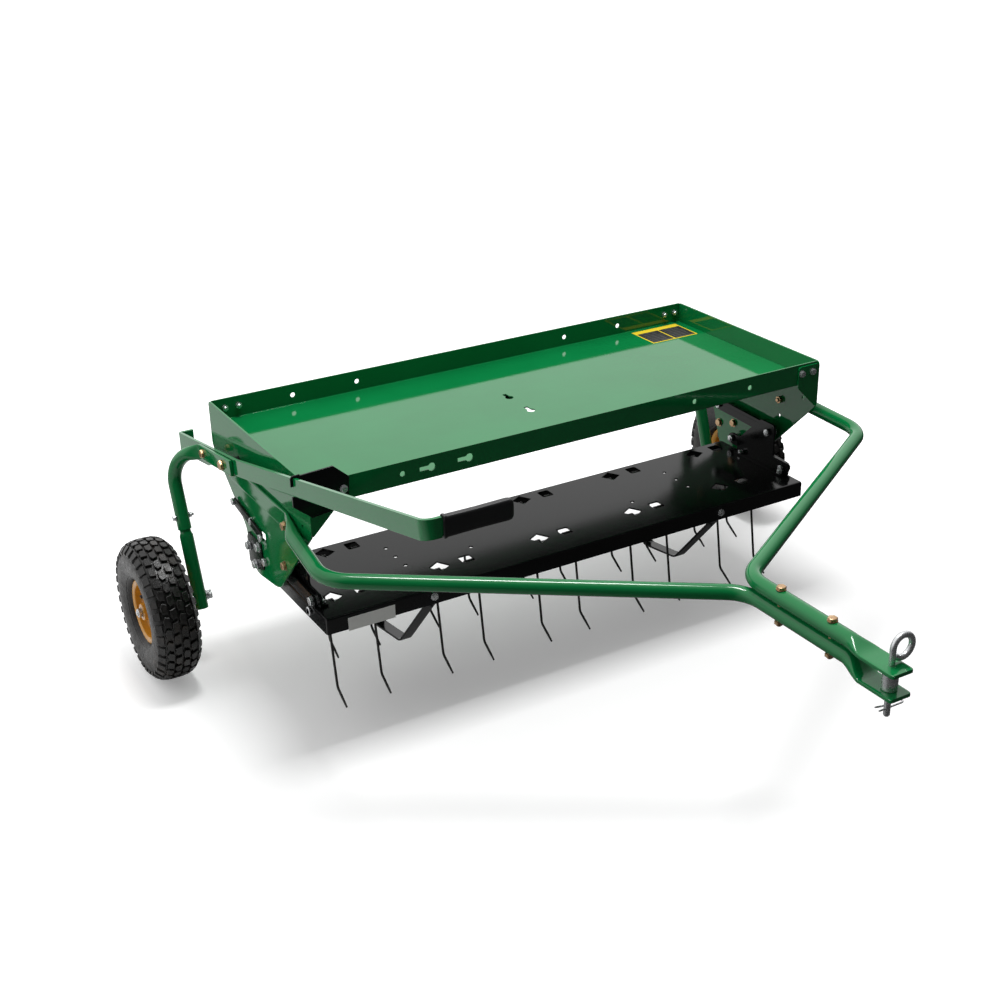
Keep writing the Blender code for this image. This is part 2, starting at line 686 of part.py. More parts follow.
def make_tines():
    """Ten double spring tines. Each has its coils as one sleeve on the rod and two bent fingers."""
    half_length = FINGER_OFFSET + WIRE_RADIUS + 0.0003
    sleeve = sleeve_profile(-half_length, half_length, COIL_INNER_RADIUS, COIL_OUTER_RADIUS)
    pattern = turned("tine_pattern", sleeve, "spring_steel", (0, 0, 0), ring=True, steps=16)
    for x in (-FINGER_OFFSET, FINGER_OFFSET):
        start_y = -(COIL_INNER_RADIUS + WIRE_RADIUS + 0.0002)
        points = [(x, start_y, 0.0), (x, *TINE_KNEE), (x, *TINE_TIP)]
        boolean(pattern, wire_mesh("finger", points, WIRE_RADIUS, 1), "UNION", "finger")
    mesh = evaluated_mesh(pattern)
    mesh.transform(pattern.matrix_world)
    bpy.data.objects.remove(pattern)
    for index, (x, y) in enumerate(tine_places(), start=1):
        tine = add_part("tine_" + str(index), smooth(mesh.copy()), "spring_steel")
        tine.location = (x, y, TINE_AXIS_Z)


def make_tine_rods():
    inner, outer = DECK_HALF_WIDTH + 0.0005, DECK_HALF_WIDTH + 0.0045
    stations = [(-outer, -inner, 0.008), (-inner, inner, ROD_RADIUS), (inner, outer, 0.008)]
    rods = []
    for place, (y, _) in zip(("front", "rear"), TINE_ROWS):
        name = "tine_rod_" + place
        rods.append(turned(name, stepped_profile(stations), "silver_zinc", (0, y, TINE_AXIS_Z)))
    return rods


def make_skid(side):
    """The flat guard bar bent into a runner under the deck."""
    front_y = DECK_FRONT_Y + PLATE + FIT_GAP + SKID_THICKNESS / 2
    back_y = DECK_BACK_Y - PLATE - FIT_GAP - SKID_THICKNESS / 2
    path = bent_path(
        [(side * SKID_X, front_y, 0.2435), (side * SKID_X, front_y, 0.225), (side * SKID_X, 0.234, 0.088),
         (side * SKID_X, 0.346, 0.072), (side * SKID_X, back_y, 0.215), (side * SKID_X, back_y, 0.2435)],
        [0.008, 0.025, 0.015, 0.006], steps=3,
    )

    def section(_):
        return (SKID_WIDTH / 2, SKID_THICKNESS / 2, 0.12)

    return loft(side_name("skid", side), path, section, (1, 0, 0), "black_paint", sides=8)


def make_deck_bracket(side):
    """The upright plate on the deck's end that the links hold, with a foot bolted to the deck."""
    foot_z = DECK_TOP_Z + FIT_GAP
    edge = softened(
        [(0.144, foot_z), (0.300, foot_z), (0.300, 0.275), (0.232, 0.341), (0.190, 0.341), (0.190, 0.276),
         (0.144, 0.276)], 0.006,
    )
    pivots = [circle(place, BOLT_HOLE_RADIUS, 12) for place in (UPPER_LINK[1], LOWER_LINK[1])]
    name = side_name("deck_bracket", side)
    mesh = flat_mesh(name, [edge] + pivots, "YZ", side * BRACKET_X, BRACKET_THICKNESS)
    bracket = add_part(name, mesh, "black_paint")
    low_x, high_x = sorted((side * 0.486, side * BRACKET_X))
    foot = box((low_x, 0.150, foot_z), (high_x, 0.294, foot_z + 0.0035))
    boolean(bracket, foot, "UNION", "foot")
    return bracket


def make_link(side, base, ends):
    name = side_name(base, side)
    holes = [circle(end, BOLT_HOLE_RADIUS, 12) for end in ends]
    mesh = flat_mesh(name, [stadium(*ends, LINK_END_RADIUS)] + holes, "YZ", side * LINK_X, LINK_THICKNESS)
    return add_part(name, mesh, "black_paint")


def make_frame_link_bolt(side, base, place):
    """Head outside the end plate, a shoulder between plate and link, the nut inside the link."""
    head_x = END_PLATE_X + PLATE / 2 + FIT_GAP
    link_out, link_in = LINK_X + LINK_THICKNESS / 2 + FIT_GAP, LINK_X - LINK_THICKNESS / 2 - FIT_GAP
    stations = [
        (link_in - 0.007, link_in - 0.0055, BOLT_RADIUS), (link_in - 0.0055, link_in, 0.0075),
        (link_in, link_out, BOLT_RADIUS), (link_out, END_PLATE_X - PLATE / 2 - FIT_GAP, 0.0075),
        (END_PLATE_X - PLATE / 2 - FIT_GAP, head_x, BOLT_RADIUS), (head_x, head_x + 0.0055, 0.008),
    ]
    turned(side_name(base, side), stepped_profile(stations), "silver_zinc", (0, *place), side=side, steps=12)


def make_deck_link_bolt(side, base, place):
    """Head outside the link, a washer between link and bracket, the nut inside the bracket."""
    head_x = LINK_X + LINK_THICKNESS / 2 + FIT_GAP
    link_in = LINK_X - LINK_THICKNESS / 2 - FIT_GAP
    bracket_out = BRACKET_X + BRACKET_THICKNESS / 2 + FIT_GAP
    bracket_in = BRACKET_X - BRACKET_THICKNESS / 2 - FIT_GAP
    stations = [
        (bracket_in - 0.007, bracket_in - 0.0055, BOLT_RADIUS), (bracket_in - 0.0055, bracket_in, 0.0075),
        (bracket_in, bracket_out, BOLT_RADIUS), (bracket_out, link_in, 0.0085),
        (link_in, head_x, BOLT_RADIUS), (head_x, head_x + 0.0052, 0.008),
    ]
    name = side_name(base, side)
    return turned(name, stepped_profile(stations), "silver_zinc", (0, *place), side=side, steps=12)


# Drawbar and hitch --------------------------------------------------------------------------------
def make_drawbar(side, tube_z, jaw_z):
    """One tube of the drawbar: a flattened strip on the end plate, two bends, a flattened jaw in front."""
    strip_x = END_PLATE_X + PLATE / 2 + FIT_GAP + REAR_STRIP[1]
    path = bent_path(
        [(side * strip_x, 0.451, 0.397), (side * strip_x, 0.196, 0.397), (side * 0.539, 0.148, 0.392),
         (side * 0.550, 0.006, 0.380), (0, -0.341, tube_z), (0, -0.564, tube_z),
         (0, -0.585, (tube_z + jaw_z) / 2), (0, -0.604, jaw_z), (0, JAW_TIP_Y + 0.014, jaw_z),
         (0, JAW_TIP_Y + 0.004, jaw_z), (0, JAW_TIP_Y, jaw_z)],
        [0, 0, 0.060, 0.060, 0, 0, 0, 0, 0],
    )

    def section(point):
        if point.y > 0:
            return mix(ROUND_TUBE, REAR_STRIP, (point.y - 0.148) / 0.045)
        if point.y < JAW_TIP_Y + 0.013:
            return mix(JAW, JAW_TIP, (JAW_TIP_Y + 0.013 - point.y) / 0.013)
        return mix(ROUND_TUBE, JAW, (-0.564 - point.y) / 0.040)

    bar = loft(side_name("drawbar", side), path, section, (0, 0, 1), "green_paint")
    tools = [cylinder((0, y, tube_z), "Z", BOLT_HOLE_RADIUS, 0.04, 12) for y in CLAMP_BOLT_Y]
    tools.append(cylinder((0, HITCH_Y, jaw_z), "Z", PIN_RADIUS + 0.0006, 0.03))
    boolean(bar, joined("drawbar_holes", tools), "DIFFERENCE", "holes")


def make_drawbar_bolts():
    top_z = UPPER_TUBE_Z + TUBE_RADIUS + FIT_GAP
    grip = top_z - (LOWER_TUBE_Z - TUBE_RADIUS - FIT_GAP)
    stations = [(-0.0055, 0.0, 0.008), (0.0, grip, BOLT_RADIUS), (grip, grip + 0.006, 0.0075),
                (grip + 0.006, grip + 0.009, BOLT_RADIUS)]
    for place, y in zip(("rear", "front"), CLAMP_BOLT_Y):
        name = "drawbar_bolt_" + place
        turned(name, stepped_profile(stations), "yellow_zinc", (0, y, top_z), axis="Z", steps=12)


def make_hitch():
    """The pin bent from round bar with an eye to its right, the jaws' spacer, and the hairpin clip."""
    jaw_half = JAW_THICKNESS / 2 + FIT_GAP
    spacer = sleeve_profile(0.0, UPPER_JAW_Z - LOWER_JAW_Z - 2 * jaw_half, PIN_RADIUS + 0.0006, 0.0115)
    turned("hitch_spacer", spacer, "silver_zinc", (0, HITCH_Y, UPPER_JAW_Z - jaw_half), axis="Z", ring=True)

    bottom_z, clip_z = 0.304, 0.316
    eye_z = UPPER_JAW_Z + jaw_half + PIN_EYE_RADIUS + PIN_RADIUS + 0.0025
    eye = arc((PIN_EYE_RADIUS, eye_z), PIN_EYE_RADIUS, 180, -130, 16)
    route = [(0, HITCH_Y, bottom_z)] + [(x, HITCH_Y, z) for x, z in eye]
    pin = add_part("hitch_pin", wire_mesh("hitch_pin", route, PIN_RADIUS, 2), "silver_zinc")
    bored(pin, [(0, HITCH_Y, clip_z)], "X", 0.0023, 0.03, 10)

    loop = arc((0.028, HITCH_Y + 0.0045), 0.0045, -90, 90, 6)
    route = [(-0.016, HITCH_Y)] + loop + [(0.010, HITCH_Y + 0.0085), (-0.014, HITCH_Y + 0.0105)]
    clip_mesh = wire_mesh("hitch_clip", [(x, y, clip_z) for x, y in route], 0.0014)
    clip = add_part("hitch_clip", clip_mesh, "silver_zinc")
    axis_empty("hitch_pin_axis", (0, HITCH_Y, bottom_z), [pin, clip])


# Assembly -----------------------------------------------------------------------------------------
def parts_named(*beginnings):
    return [obj for obj in PARTS.objects if obj.name.startswith(beginnings)]


def build():
    make_tray()
    make_latch_plate()
    make_lift_handle()
    make_handle_grip()
    make_lift_arm()
    make_lift_shaft()
    make_deck()
    make_tines()
    make_tine_rods()
    for side in (LEFT, RIGHT):
        make_end_plate(side)
        make_leg_upper(side)
        make_leg_lower(side)
        make_lift_bolts(side)
        make_wheel(side)
        make_skid(side)
        make_deck_bracket(side)
        make_link(side, "upper_link", UPPER_LINK)
        make_link(side, "lower_link", LOWER_LINK)
        make_frame_link_bolt(side, "upper_frame_bolt", UPPER_LINK[0])
        make_frame_link_bolt(side, "lower_frame_bolt", LOWER_LINK[0])
        make_deck_link_bolt(side, "upper_deck_bolt", UPPER_LINK[1])
        make_deck_link_bolt(side, "lower_deck_bolt", LOWER_LINK[1])
    make_drawbar(RIGHT, UPPER_TUBE_Z, UPPER_JAW_Z)
    make_drawbar(LEFT, LOWER_TUBE_Z, LOWER_JAW_Z)
    make_drawbar_bolts()
    make_hitch()
    axis_empty("lift_axis", (0, LIFT_Y, LIFT_Z),
               parts_named("lift_", "handle_grip", "leg_", "pivot_bolt", "axle_bolt"))
    axis_empty("upper_link_axis", (0, *UPPER_LINK[0]), parts_named("upper_link_"))
    axis_empty("lower_link_axis", (0, *LOWER_LINK[0]), parts_named("lower_link_"))
    deck_parts = parts_named("deck", "tine_rod", "skid", "upper_deck_bolt", "lower_deck_bolt")
    axis_empty("deck_axis", (0, *UPPER_LINK[1]), deck_parts)


build()
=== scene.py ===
"""Looks of the tow-behind lawn dethatcher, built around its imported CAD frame.

Units are metres, in the frame of the CAD. Sheet parts are the CAD solids with rounded edges; tubes, tyres,
tines, bolts and the hitch pin are made again in finer mesh on the same centre lines.
"""

import json
import math

import bmesh
import bpy
from mathutils import Matrix, Vector


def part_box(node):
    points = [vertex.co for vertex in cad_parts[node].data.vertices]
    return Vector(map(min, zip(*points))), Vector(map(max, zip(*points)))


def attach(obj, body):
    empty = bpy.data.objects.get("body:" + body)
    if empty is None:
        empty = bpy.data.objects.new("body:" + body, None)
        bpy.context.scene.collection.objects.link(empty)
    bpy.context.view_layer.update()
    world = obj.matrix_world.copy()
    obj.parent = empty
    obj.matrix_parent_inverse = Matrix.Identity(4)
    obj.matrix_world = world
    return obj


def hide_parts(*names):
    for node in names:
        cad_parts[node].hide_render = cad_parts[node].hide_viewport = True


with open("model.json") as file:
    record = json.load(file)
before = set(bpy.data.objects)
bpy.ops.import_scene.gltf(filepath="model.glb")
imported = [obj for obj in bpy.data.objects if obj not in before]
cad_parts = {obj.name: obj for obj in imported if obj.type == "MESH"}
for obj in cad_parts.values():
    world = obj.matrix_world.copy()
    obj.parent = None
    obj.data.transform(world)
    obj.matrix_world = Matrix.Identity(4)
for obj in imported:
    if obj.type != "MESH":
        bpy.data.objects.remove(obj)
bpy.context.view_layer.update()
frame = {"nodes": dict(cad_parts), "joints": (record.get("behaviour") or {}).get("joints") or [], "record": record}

LEFT, RIGHT = -1, 1
X_AXIS, Y_AXIS, Z_AXIS = Vector((1, 0, 0)), Vector((0, 1, 0)), Vector((0, 0, 1))
JOINT_AT = {joint["name"]: Vector(joint["pos_m"]) for joint in frame["joints"]}
SLOT_OF = {row["node"]: row["material_slot"] for row in frame["record"]["subparts"]}
BODY_OF = {node: body for body, nodes in frame["record"]["behaviour"]["bodies"].items() for node in nodes}

# Sizes and places that the frame's boxes don't give.
FIT = 0.0003
PLATE = 0.003
TRAY_SHEET = 0.0025
STRIP_HALF = 0.0025
TUBE_Z = {RIGHT: 0.3845, LEFT: 0.3575}
JAW_Z = {RIGHT: 0.382, LEFT: 0.344}
LEG_TOP = (0.591, 0.387)
LEG_SPLIT_Z = 0.257
SKID_X = 0.308
TRAY_BOLT_Z = 0.4795
DECK_BOLT_Z = 0.234
OUTER_LINK_X = 0.5288
OUTER_LINK_ENDS = ((0.445, 0.338), (0.322, 0.316))
TUBE_RADIUS = 0.0127
WIRE_RADIUS = 0.00225
COIL_RADIUS = 0.00905
COIL_TURNS = 3.5
FINGER_X = 0.042
KNEE = (-0.030, -0.144)
TIP = (-0.064, -0.166)


def side_name(base, side):
    return base + ("_left" if side == LEFT else "_right")


def centre_of(node):
    low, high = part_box(node)
    return (low + high) / 2


# Materials ----------------------------------------------------------------------------------------
class Recipe:
    """A Principled material with helpers that add the nodes of its variation, roughness and bump."""

    def __init__(self, name, metallic=0.0, coat=0.0, specular=0.5):
        self.material = bpy.data.materials.new(name)
        self.material.use_nodes = True
        self.tree = self.material.node_tree
        self.shader = self.tree.nodes["Principled BSDF"]
        self.shader.inputs["Metallic"].default_value = metallic
        self.shader.inputs["Coat Weight"].default_value = coat
        self.shader.inputs["Specular IOR Level"].default_value = specular
        self.place = self.tree.nodes.new("ShaderNodeTexCoord").outputs["Object"]

    def link(self, output, target):
        self.tree.links.new(output, target)

    def noise(self, scale, detail=4.0, roughness=0.55, stretch=(1, 1, 1)):
        mapping = self.tree.nodes.new("ShaderNodeMapping")
        mapping.inputs["Scale"].default_value = stretch
        self.link(self.place, mapping.inputs["Vector"])
        node = self.tree.nodes.new("ShaderNodeTexNoise")
        node.inputs["Scale"].default_value = scale
        node.inputs["Detail"].default_value = detail
        node.inputs["Roughness"].default_value = roughness
        self.link(mapping.outputs["Vector"], node.inputs["Vector"])
        return node.outputs["Fac"]

    def cells(self, scale):
        node = self.tree.nodes.new("ShaderNodeTexVoronoi")
        node.inputs["Scale"].default_value = scale
        self.link(self.place, node.inputs["Vector"])
        return node.outputs["Distance"]

    def ramp(self, value, low, high, out_low, out_high):
        node = self.tree.nodes.new("ShaderNodeMapRange")
        for key, number in (("From Min", low), ("From Max", high), ("To Min", out_low), ("To Max", out_high)):
            node.inputs[key].default_value = number
        self.link(value, node.inputs["Value"])
        return node.outputs["Result"]

    def math(self, operation, first, second):
        node = self.tree.nodes.new("ShaderNodeMath")
        node.operation = operation
        for slot, value in zip(node.inputs, (first, second)):
            if isinstance(value, (int, float)):
                slot.default_value = value
            else:
                self.link(value, slot)
        return node.outputs["Value"]

    def mixed(self, factor, first, second):
        node = self.tree.nodes.new("ShaderNodeMix")
        node.data_type = "RGBA"
        self.link(factor, node.inputs["Factor"])
        for slot, value in ((node.inputs["A"], first), (node.inputs["B"], second)):
            if isinstance(value, tuple):
                slot.default_value = (*value, 1.0)
            else:
                self.link(value, slot)
        return node.outputs["Result"]

    def colour(self, value):
        self.link(value, self.shader.inputs["Base Color"])

    def rough(self, value):
        self.link(value, self.shader.inputs["Roughness"])

    def bump(self, height, distance):
        node = self.tree.nodes.new("ShaderNodeBump")
        node.inputs["Distance"].default_value = distance
        node.inputs["Strength"].default_value = 1.0
        self.link(height, node.inputs["Height"])
        self.link(node.outputs["Normal"], self.shader.inputs["Normal"])


def paint(name, deep, light, dust, gloss, specular, orange_peel):
    """Powder coat: two close tones, a little dust, smeared gloss and orange peel."""
    recipe = Recipe(name, specular=specular)
    tone = recipe.mixed(recipe.ramp(recipe.noise(5.0), 0.3, 0.7, 0.0, 1.0), deep, light)
    specks = recipe.ramp(recipe.noise(190.0, 6.0, 0.7), 0.64, 0.80, 0.0, 0.5)
    patches = recipe.ramp(recipe.noise(14.0, 5.0), 0.50, 0.75, 0.0, 0.5)
    recipe.colour(recipe.mixed(recipe.math("MULTIPLY", specks, patches), tone, dust))
    smears = recipe.noise(3.0, 3.0, 0.5, (1, 1, 3))
    recipe.rough(recipe.ramp(smears, 0.35, 0.75, gloss, gloss + 0.03))
    recipe.bump(recipe.noise(380.0, 2.0), orange_peel)
    return recipe.material


def tractor_green():
    return paint("tractor_green", (0.0022, 0.160, 0.040), (0.0035, 0.190, 0.050), (0.10, 0.30, 0.15),
                 gloss=0.05, specular=0.5, orange_peel=0.00003)


def satin_black():
    return paint("satin_black", (0.004, 0.0045, 0.0045), (0.009, 0.0095, 0.010), (0.05, 0.05, 0.05),
                 gloss=0.12, specular=0.22, orange_peel=0.00004)


def amber_rim():
    return paint("amber_rim", (0.55, 0.24, 0.020), (0.66, 0.32, 0.040), (0.80, 0.55, 0.25),
                 gloss=0.16, specular=0.5, orange_peel=0.00005)


def zinc(name, low, high, roughness):
    """Zinc plate: fine crystal flecks, a drifting tint and faint handling marks."""
    recipe = Recipe(name, metallic=0.85)
    tint = recipe.mixed(recipe.ramp(recipe.noise(70.0, 3.0), 0.3, 0.7, 0.0, 1.0), low, high)
    grime = recipe.ramp(recipe.noise(240.0, 5.0, 0.7), 0.56, 0.76, 0.0, 0.4)
    recipe.colour(recipe.mixed(grime, tint, tuple(value * 0.4 for value in low)))
    recipe.rough(recipe.ramp(recipe.noise(320.0, 4.0), 0.3, 0.7, roughness, roughness + 0.22))
    recipe.bump(recipe.cells(900.0), 0.00005)
    return recipe.material


def silver_zinc():
    return zinc("silver_zinc", (0.58, 0.60, 0.61), (0.80, 0.81, 0.82), 0.14)


def yellow_zinc():
    return zinc("yellow_zinc", (0.36, 0.20, 0.10), (0.66, 0.46, 0.27), 0.20)


def spring_steel():
    recipe = Recipe("spring_steel", metallic=0.25)
    scale = recipe.ramp(recipe.noise(90.0, 6.0, 0.65), 0.35, 0.7, 0.0, 1.0)
    recipe.colour(recipe.mixed(scale, (0.006, 0.006, 0.007), (0.024, 0.022, 0.020)))
    recipe.rough(recipe.ramp(recipe.noise(200.0, 4.0), 0.3, 0.7, 0.30, 0.50))
    recipe.bump(recipe.noise(500.0, 3.0), 0.00006)
    return recipe.material


def grip_vinyl():
    recipe = Recipe("grip_vinyl")
    recipe.colour(recipe.mixed(recipe.noise(30.0), (0.008, 0.008, 0.009), (0.018, 0.018, 0.019)))
    recipe.rough(recipe.ramp(recipe.noise(80.0, 5.0), 0.3, 0.7, 0.34, 0.52))
    recipe.bump(recipe.cells(1100.0), 0.00012)
    return recipe.material


def tyre_rubber():
    """Black rubber with patches of brown-grey dust, finer scuffs and a rough grain."""
    recipe = Recipe("tyre_rubber", specular=0.45)
    base = recipe.mixed(recipe.noise(40.0, 5.0), (0.003, 0.003, 0.003), (0.010, 0.0092, 0.0085))
    dusty = recipe.ramp(recipe.noise(26.0, 6.0, 0.7), 0.52, 0.76, 0.0, 0.5)
    base = recipe.mixed(dusty, base, (0.060, 0.046, 0.034))
    scuffs = recipe.ramp(recipe.noise(420.0, 4.0), 0.6, 0.8, 0.0, 0.5)
    recipe.colour(recipe.mixed(scuffs, base, (0.12, 0.11, 0.10)))
    recipe.rough(recipe.ramp(recipe.noise(120.0, 5.0), 0.3, 0.7, 0.20, 0.48))
    grain = recipe.math("ADD", recipe.noise(700.0, 3.0), recipe.math("MULTIPLY", recipe.cells(260.0), 0.6))
    recipe.bump(grain, 0.00030)
    return recipe.material


def label_print(name, ink):
    """Printed vinyl: one ink with a faint half-tone grain."""
    recipe = Recipe(name, specular=0.12)
    grain = recipe.ramp(recipe.noise(600.0, 2.0), 0.35, 0.7, 0.0, 0.06)
    recipe.colour(recipe.mixed(grain, ink, (0.5, 0.5, 0.5)))
    recipe.rough(recipe.ramp(recipe.noise(40.0), 0.3, 0.7, 0.40, 0.55))
    return recipe.material


MATERIALS = {
    "tractor_green": tractor_green(), "satin_black": satin_black(), "amber_rim": amber_rim(),
    "silver_zinc": silver_zinc(), "yellow_zinc": yellow_zinc(), "spring_steel": spring_steel(),
    "grip_vinyl": grip_vinyl(), "tyre_rubber": tyre_rubber(),
}
LABEL_YELLOW = label_print("label_yellow", (0.80, 0.60, 0.02))
LABEL_BLACK = label_print("label_black", (0.012, 0.012, 0.012))
LABEL_PALE = label_print("label_pale", (0.90, 0.90, 0.87))
LABEL_GREY = label_print("label_grey", (0.16, 0.16, 0.15))


# Making pieces ------------------------------------------------------------------------------------
def to_piece(name, bm, body, slot, stands_for=(), angle=38.0):
    """A finished piece: it rides on its body, takes the slot's material and stands for CAD nodes."""
    bmesh.ops.recalc_face_normals(bm, faces=bm.faces)
    mesh = bpy.data.meshes.new(name)
    bm.to_mesh(mesh)
    bm.free()
    mesh.shade_smooth()
    mesh.set_sharp_from_angle(angle=math.radians(angle))
    mesh.materials.append(MATERIALS[slot])
    obj = bpy.data.objects.new(name, mesh)
    bpy.context.scene.collection.objects.link(obj)
    flat_faces = obj.modifiers.new("flat_faces", "WEIGHTED_NORMAL")
    flat_faces.weight = 100
    flat_faces.keep_sharp = True
    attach(obj, body)
    if stands_for:
        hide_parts(*stands_for)
    return obj


def dress_sheet(node, width):
    """The CAD solid with its corners rounded by a small bevel."""
    bm = bmesh.new()
    bm.from_mesh(frame["nodes"][node].data)
    bmesh.ops.remove_doubles(bm, verts=bm.verts, dist=1e-6)
    bmesh.ops.dissolve_limit(bm, angle_limit=math.radians(1.0), verts=bm.verts, edges=bm.edges)
    corner = math.radians(40)
    sharp = [edge for edge in bm.edges if len(edge.link_faces) == 2 and edge.calc_face_angle() > corner]
    bmesh.ops.bevel(
        bm, geom=sharp, offset=width, offset_type="OFFSET", segments=2, profile=0.6,
        affect="EDGES", clamp_overlap=True,
    )
    to_piece(node + "_finish", bm, BODY_OF[node], SLOT_OF[node], (node,), 30.0)


def axis_frame(at, axis):
    """The matrix that stands local Z along the axis at the point."""
    return Matrix.Translation(at) @ Vector(axis).to_track_quat("Z", "Y").to_matrix().to_4x4()


def skin(bm, loops):
    """Quads between each loop of vertices and the next."""
    count = len(loops[0])
    for first, second in zip(loops, loops[1:]):
        for index in range(count):
            after = (index + 1) % count
            bm.faces.new((first[index], first[after], second[after], second[index]))


def skin_and_cap(bm, loops):
    skin(bm, loops)
    bm.faces.new(loops[0])
    bm.faces.new(loops[-1])


def ring(bm, stand, height, radius, sides, start=0.0):
    """A loop of vertices round local Z."""
    places = []
    for index in range(sides):
        angle = start + 2 * math.pi * index / sides
        places.append(stand @ Vector((radius * math.cos(angle), radius * math.sin(angle), height)))
    return [bm.verts.new(place) for place in places]


def add_rings(bm, stand, stations, sides, start=0.0):
    """A closed stack of rings along local Z: stations are (height, radius)."""
    skin_and_cap(bm, [ring(bm, stand, height, radius, sides, start) for height, radius in stations])


def add_hex(bm, stand, low, high, across):
    """A hexagon along local Z with both its faces chamfered."""
    radius = across / math.sqrt(3)
    chamfer = radius * 0.10
    stations = [(low, radius * 0.90), (low + chamfer * 0.5, radius), (high - chamfer, radius),
                (high, radius * 0.86)]
    add_rings(bm, stand, stations, 6, math.pi / 6)


def add_thread(bm, stand, low, high, radius, pitch=0.00125):
    """A threaded end: ridges along local Z."""
    stations = []
    turns = max(1, int(abs(high - low) / pitch))
    step = (high - low) / turns
    for index in range(turns):
        stations += [(low + step * (index + 0.05), radius * 0.86), (low + step * (index + 0.5), radius)]
    add_rings(bm, stand, stations + [(high, radius * 0.80)], 16)


def add_bolt(bm, at, axis, grip, size=0.008, head=0.0052, nut=True, washer=True, tail=0.004):
    """A hex bolt whose head sits at the point, facing along the axis; its nut closes the grip behind."""
    stand = axis_frame(at, axis)
    across = size * 1.62
    plate = 0.0013 if washer else 0.0
    if washer:
        add_rings(bm, stand, [(0.0, size * 1.05), (plate, size * 1.05)], 24)
    add_hex(bm, stand, plate, plate + head, across)
    add_rings(bm, stand, [(-grip, size / 2), (plate, size / 2)], 16)
    if nut:
        add_hex(bm, stand, -grip - size * 0.8, -grip, across)
        add_thread(bm, stand, -grip - size * 0.8, -grip - size * 0.8 - tail, size / 2)


def bent_path(corners, radii, steps=10):
    """A path through its corners; each inner one is a true arc of its radius, or a plain point at 0."""
    points = [Vector(corners[0])]
    for before, here, after, radius in zip(corners, corners[1:], corners[2:], radii):
        before, here, after = Vector(before), Vector(here), Vector(after)
        if radius == 0:
            points.append(here)
            continue
        back, ahead = (before - here).normalized(), (after - here).normalized()
        half = back.angle(ahead) / 2
        middle = here + (back + ahead).normalized() * (radius / math.sin(half))
        start = here + back * (radius / math.tan(half)) - middle
        end = here + ahead * (radius / math.tan(half)) - middle
        sweep = start.angle(end)
        for step in range(steps + 1):
            t = step / steps
            spoke = start * math.sin((1 - t) * sweep) + end * math.sin(t * sweep)
            points.append(middle + spoke / math.sin(sweep))
    points.append(Vector(corners[-1]))
    return points


def refined(path, step):
    """The path with extra points so that no stretch is longer than the step."""
    points = [path[0]]
    for first, second in zip(path, path[1:]):
        count = max(1, math.ceil((second - first).length / step))
        points += [first.lerp(second, (index + 1) / count) for index in range(count)]
    return points


def mix(first, second, share):
    share = min(max(share, 0.0), 1.0)
    share = share * share * (3 - 2 * share)
    return tuple(a + (b - a) * share for a, b in zip(first, second))


def add_loft(bm, path, section, hint, sides=32):
    """A bar along a path. section(point) gives its half size along the hint, across it, and squareness."""
    loops = []
    for index, centre in enumerate(path):
        before, after = path[max(index - 1, 0)], path[min(index + 1, len(path) - 1)]
        tangent = ((centre - before).normalized() + (after - centre).normalized()).normalized()
        up = (Vector(hint) - tangent * tangent.dot(Vector(hint))).normalized()
        across = tangent.cross(up)
        half_up, half_across, squareness = section(centre)
        loop = []
        for side in range(sides):
            angle = 2 * math.pi * (side + 0.5) / sides
            c, s = math.cos(angle), math.sin(angle)
            offset_up = half_up * math.copysign(abs(c) ** squareness, c)
            offset_across = half_across * math.copysign(abs(s) ** squareness, s)
            loop.append(bm.verts.new(centre + up * offset_up + across * offset_across))
        loops.append(loop)
    skin_and_cap(bm, loops)


def add_wire(bm, path, radius, sides=12):
    """Round wire along a path, its rings turned with the least twist, its ends slightly rounded."""
    points = [Vector(point) for point in path]
    side = (points[1] - points[0]).normalized().orthogonal().normalized()
    angles = [2 * math.pi * step / sides for step in range(sides)]
    loops = []
    last = len(points) - 1
    for index, centre in enumerate(points):
        before, after = points[max(index - 1, 0)], points[min(index + 1, last)]
        tangent = (after - before).normalized()
        side = (side - tangent * tangent.dot(side)).normalized()
        across = tangent.cross(side)
        size = radius * (0.75 if index in (0, last) else 1.0)
        spokes = [side * math.cos(a) + across * math.sin(a) for a in angles]
        loops.append([bm.verts.new(centre + spoke * size) for spoke in spokes])
    skin_and_cap(bm, loops)


def add_lathe(bm, stand, profile, sides):
    """A closed ring turned about local Z from (height, radius) points."""
    loops = [ring(bm, stand, height, radius, sides) for height, radius in profile]
    skin(bm, loops + loops[:1])


# Frame tubes --------------------------------------------------------------------------------------
ROUND_TUBE = (TUBE_RADIUS, TUBE_RADIUS, 1.0)


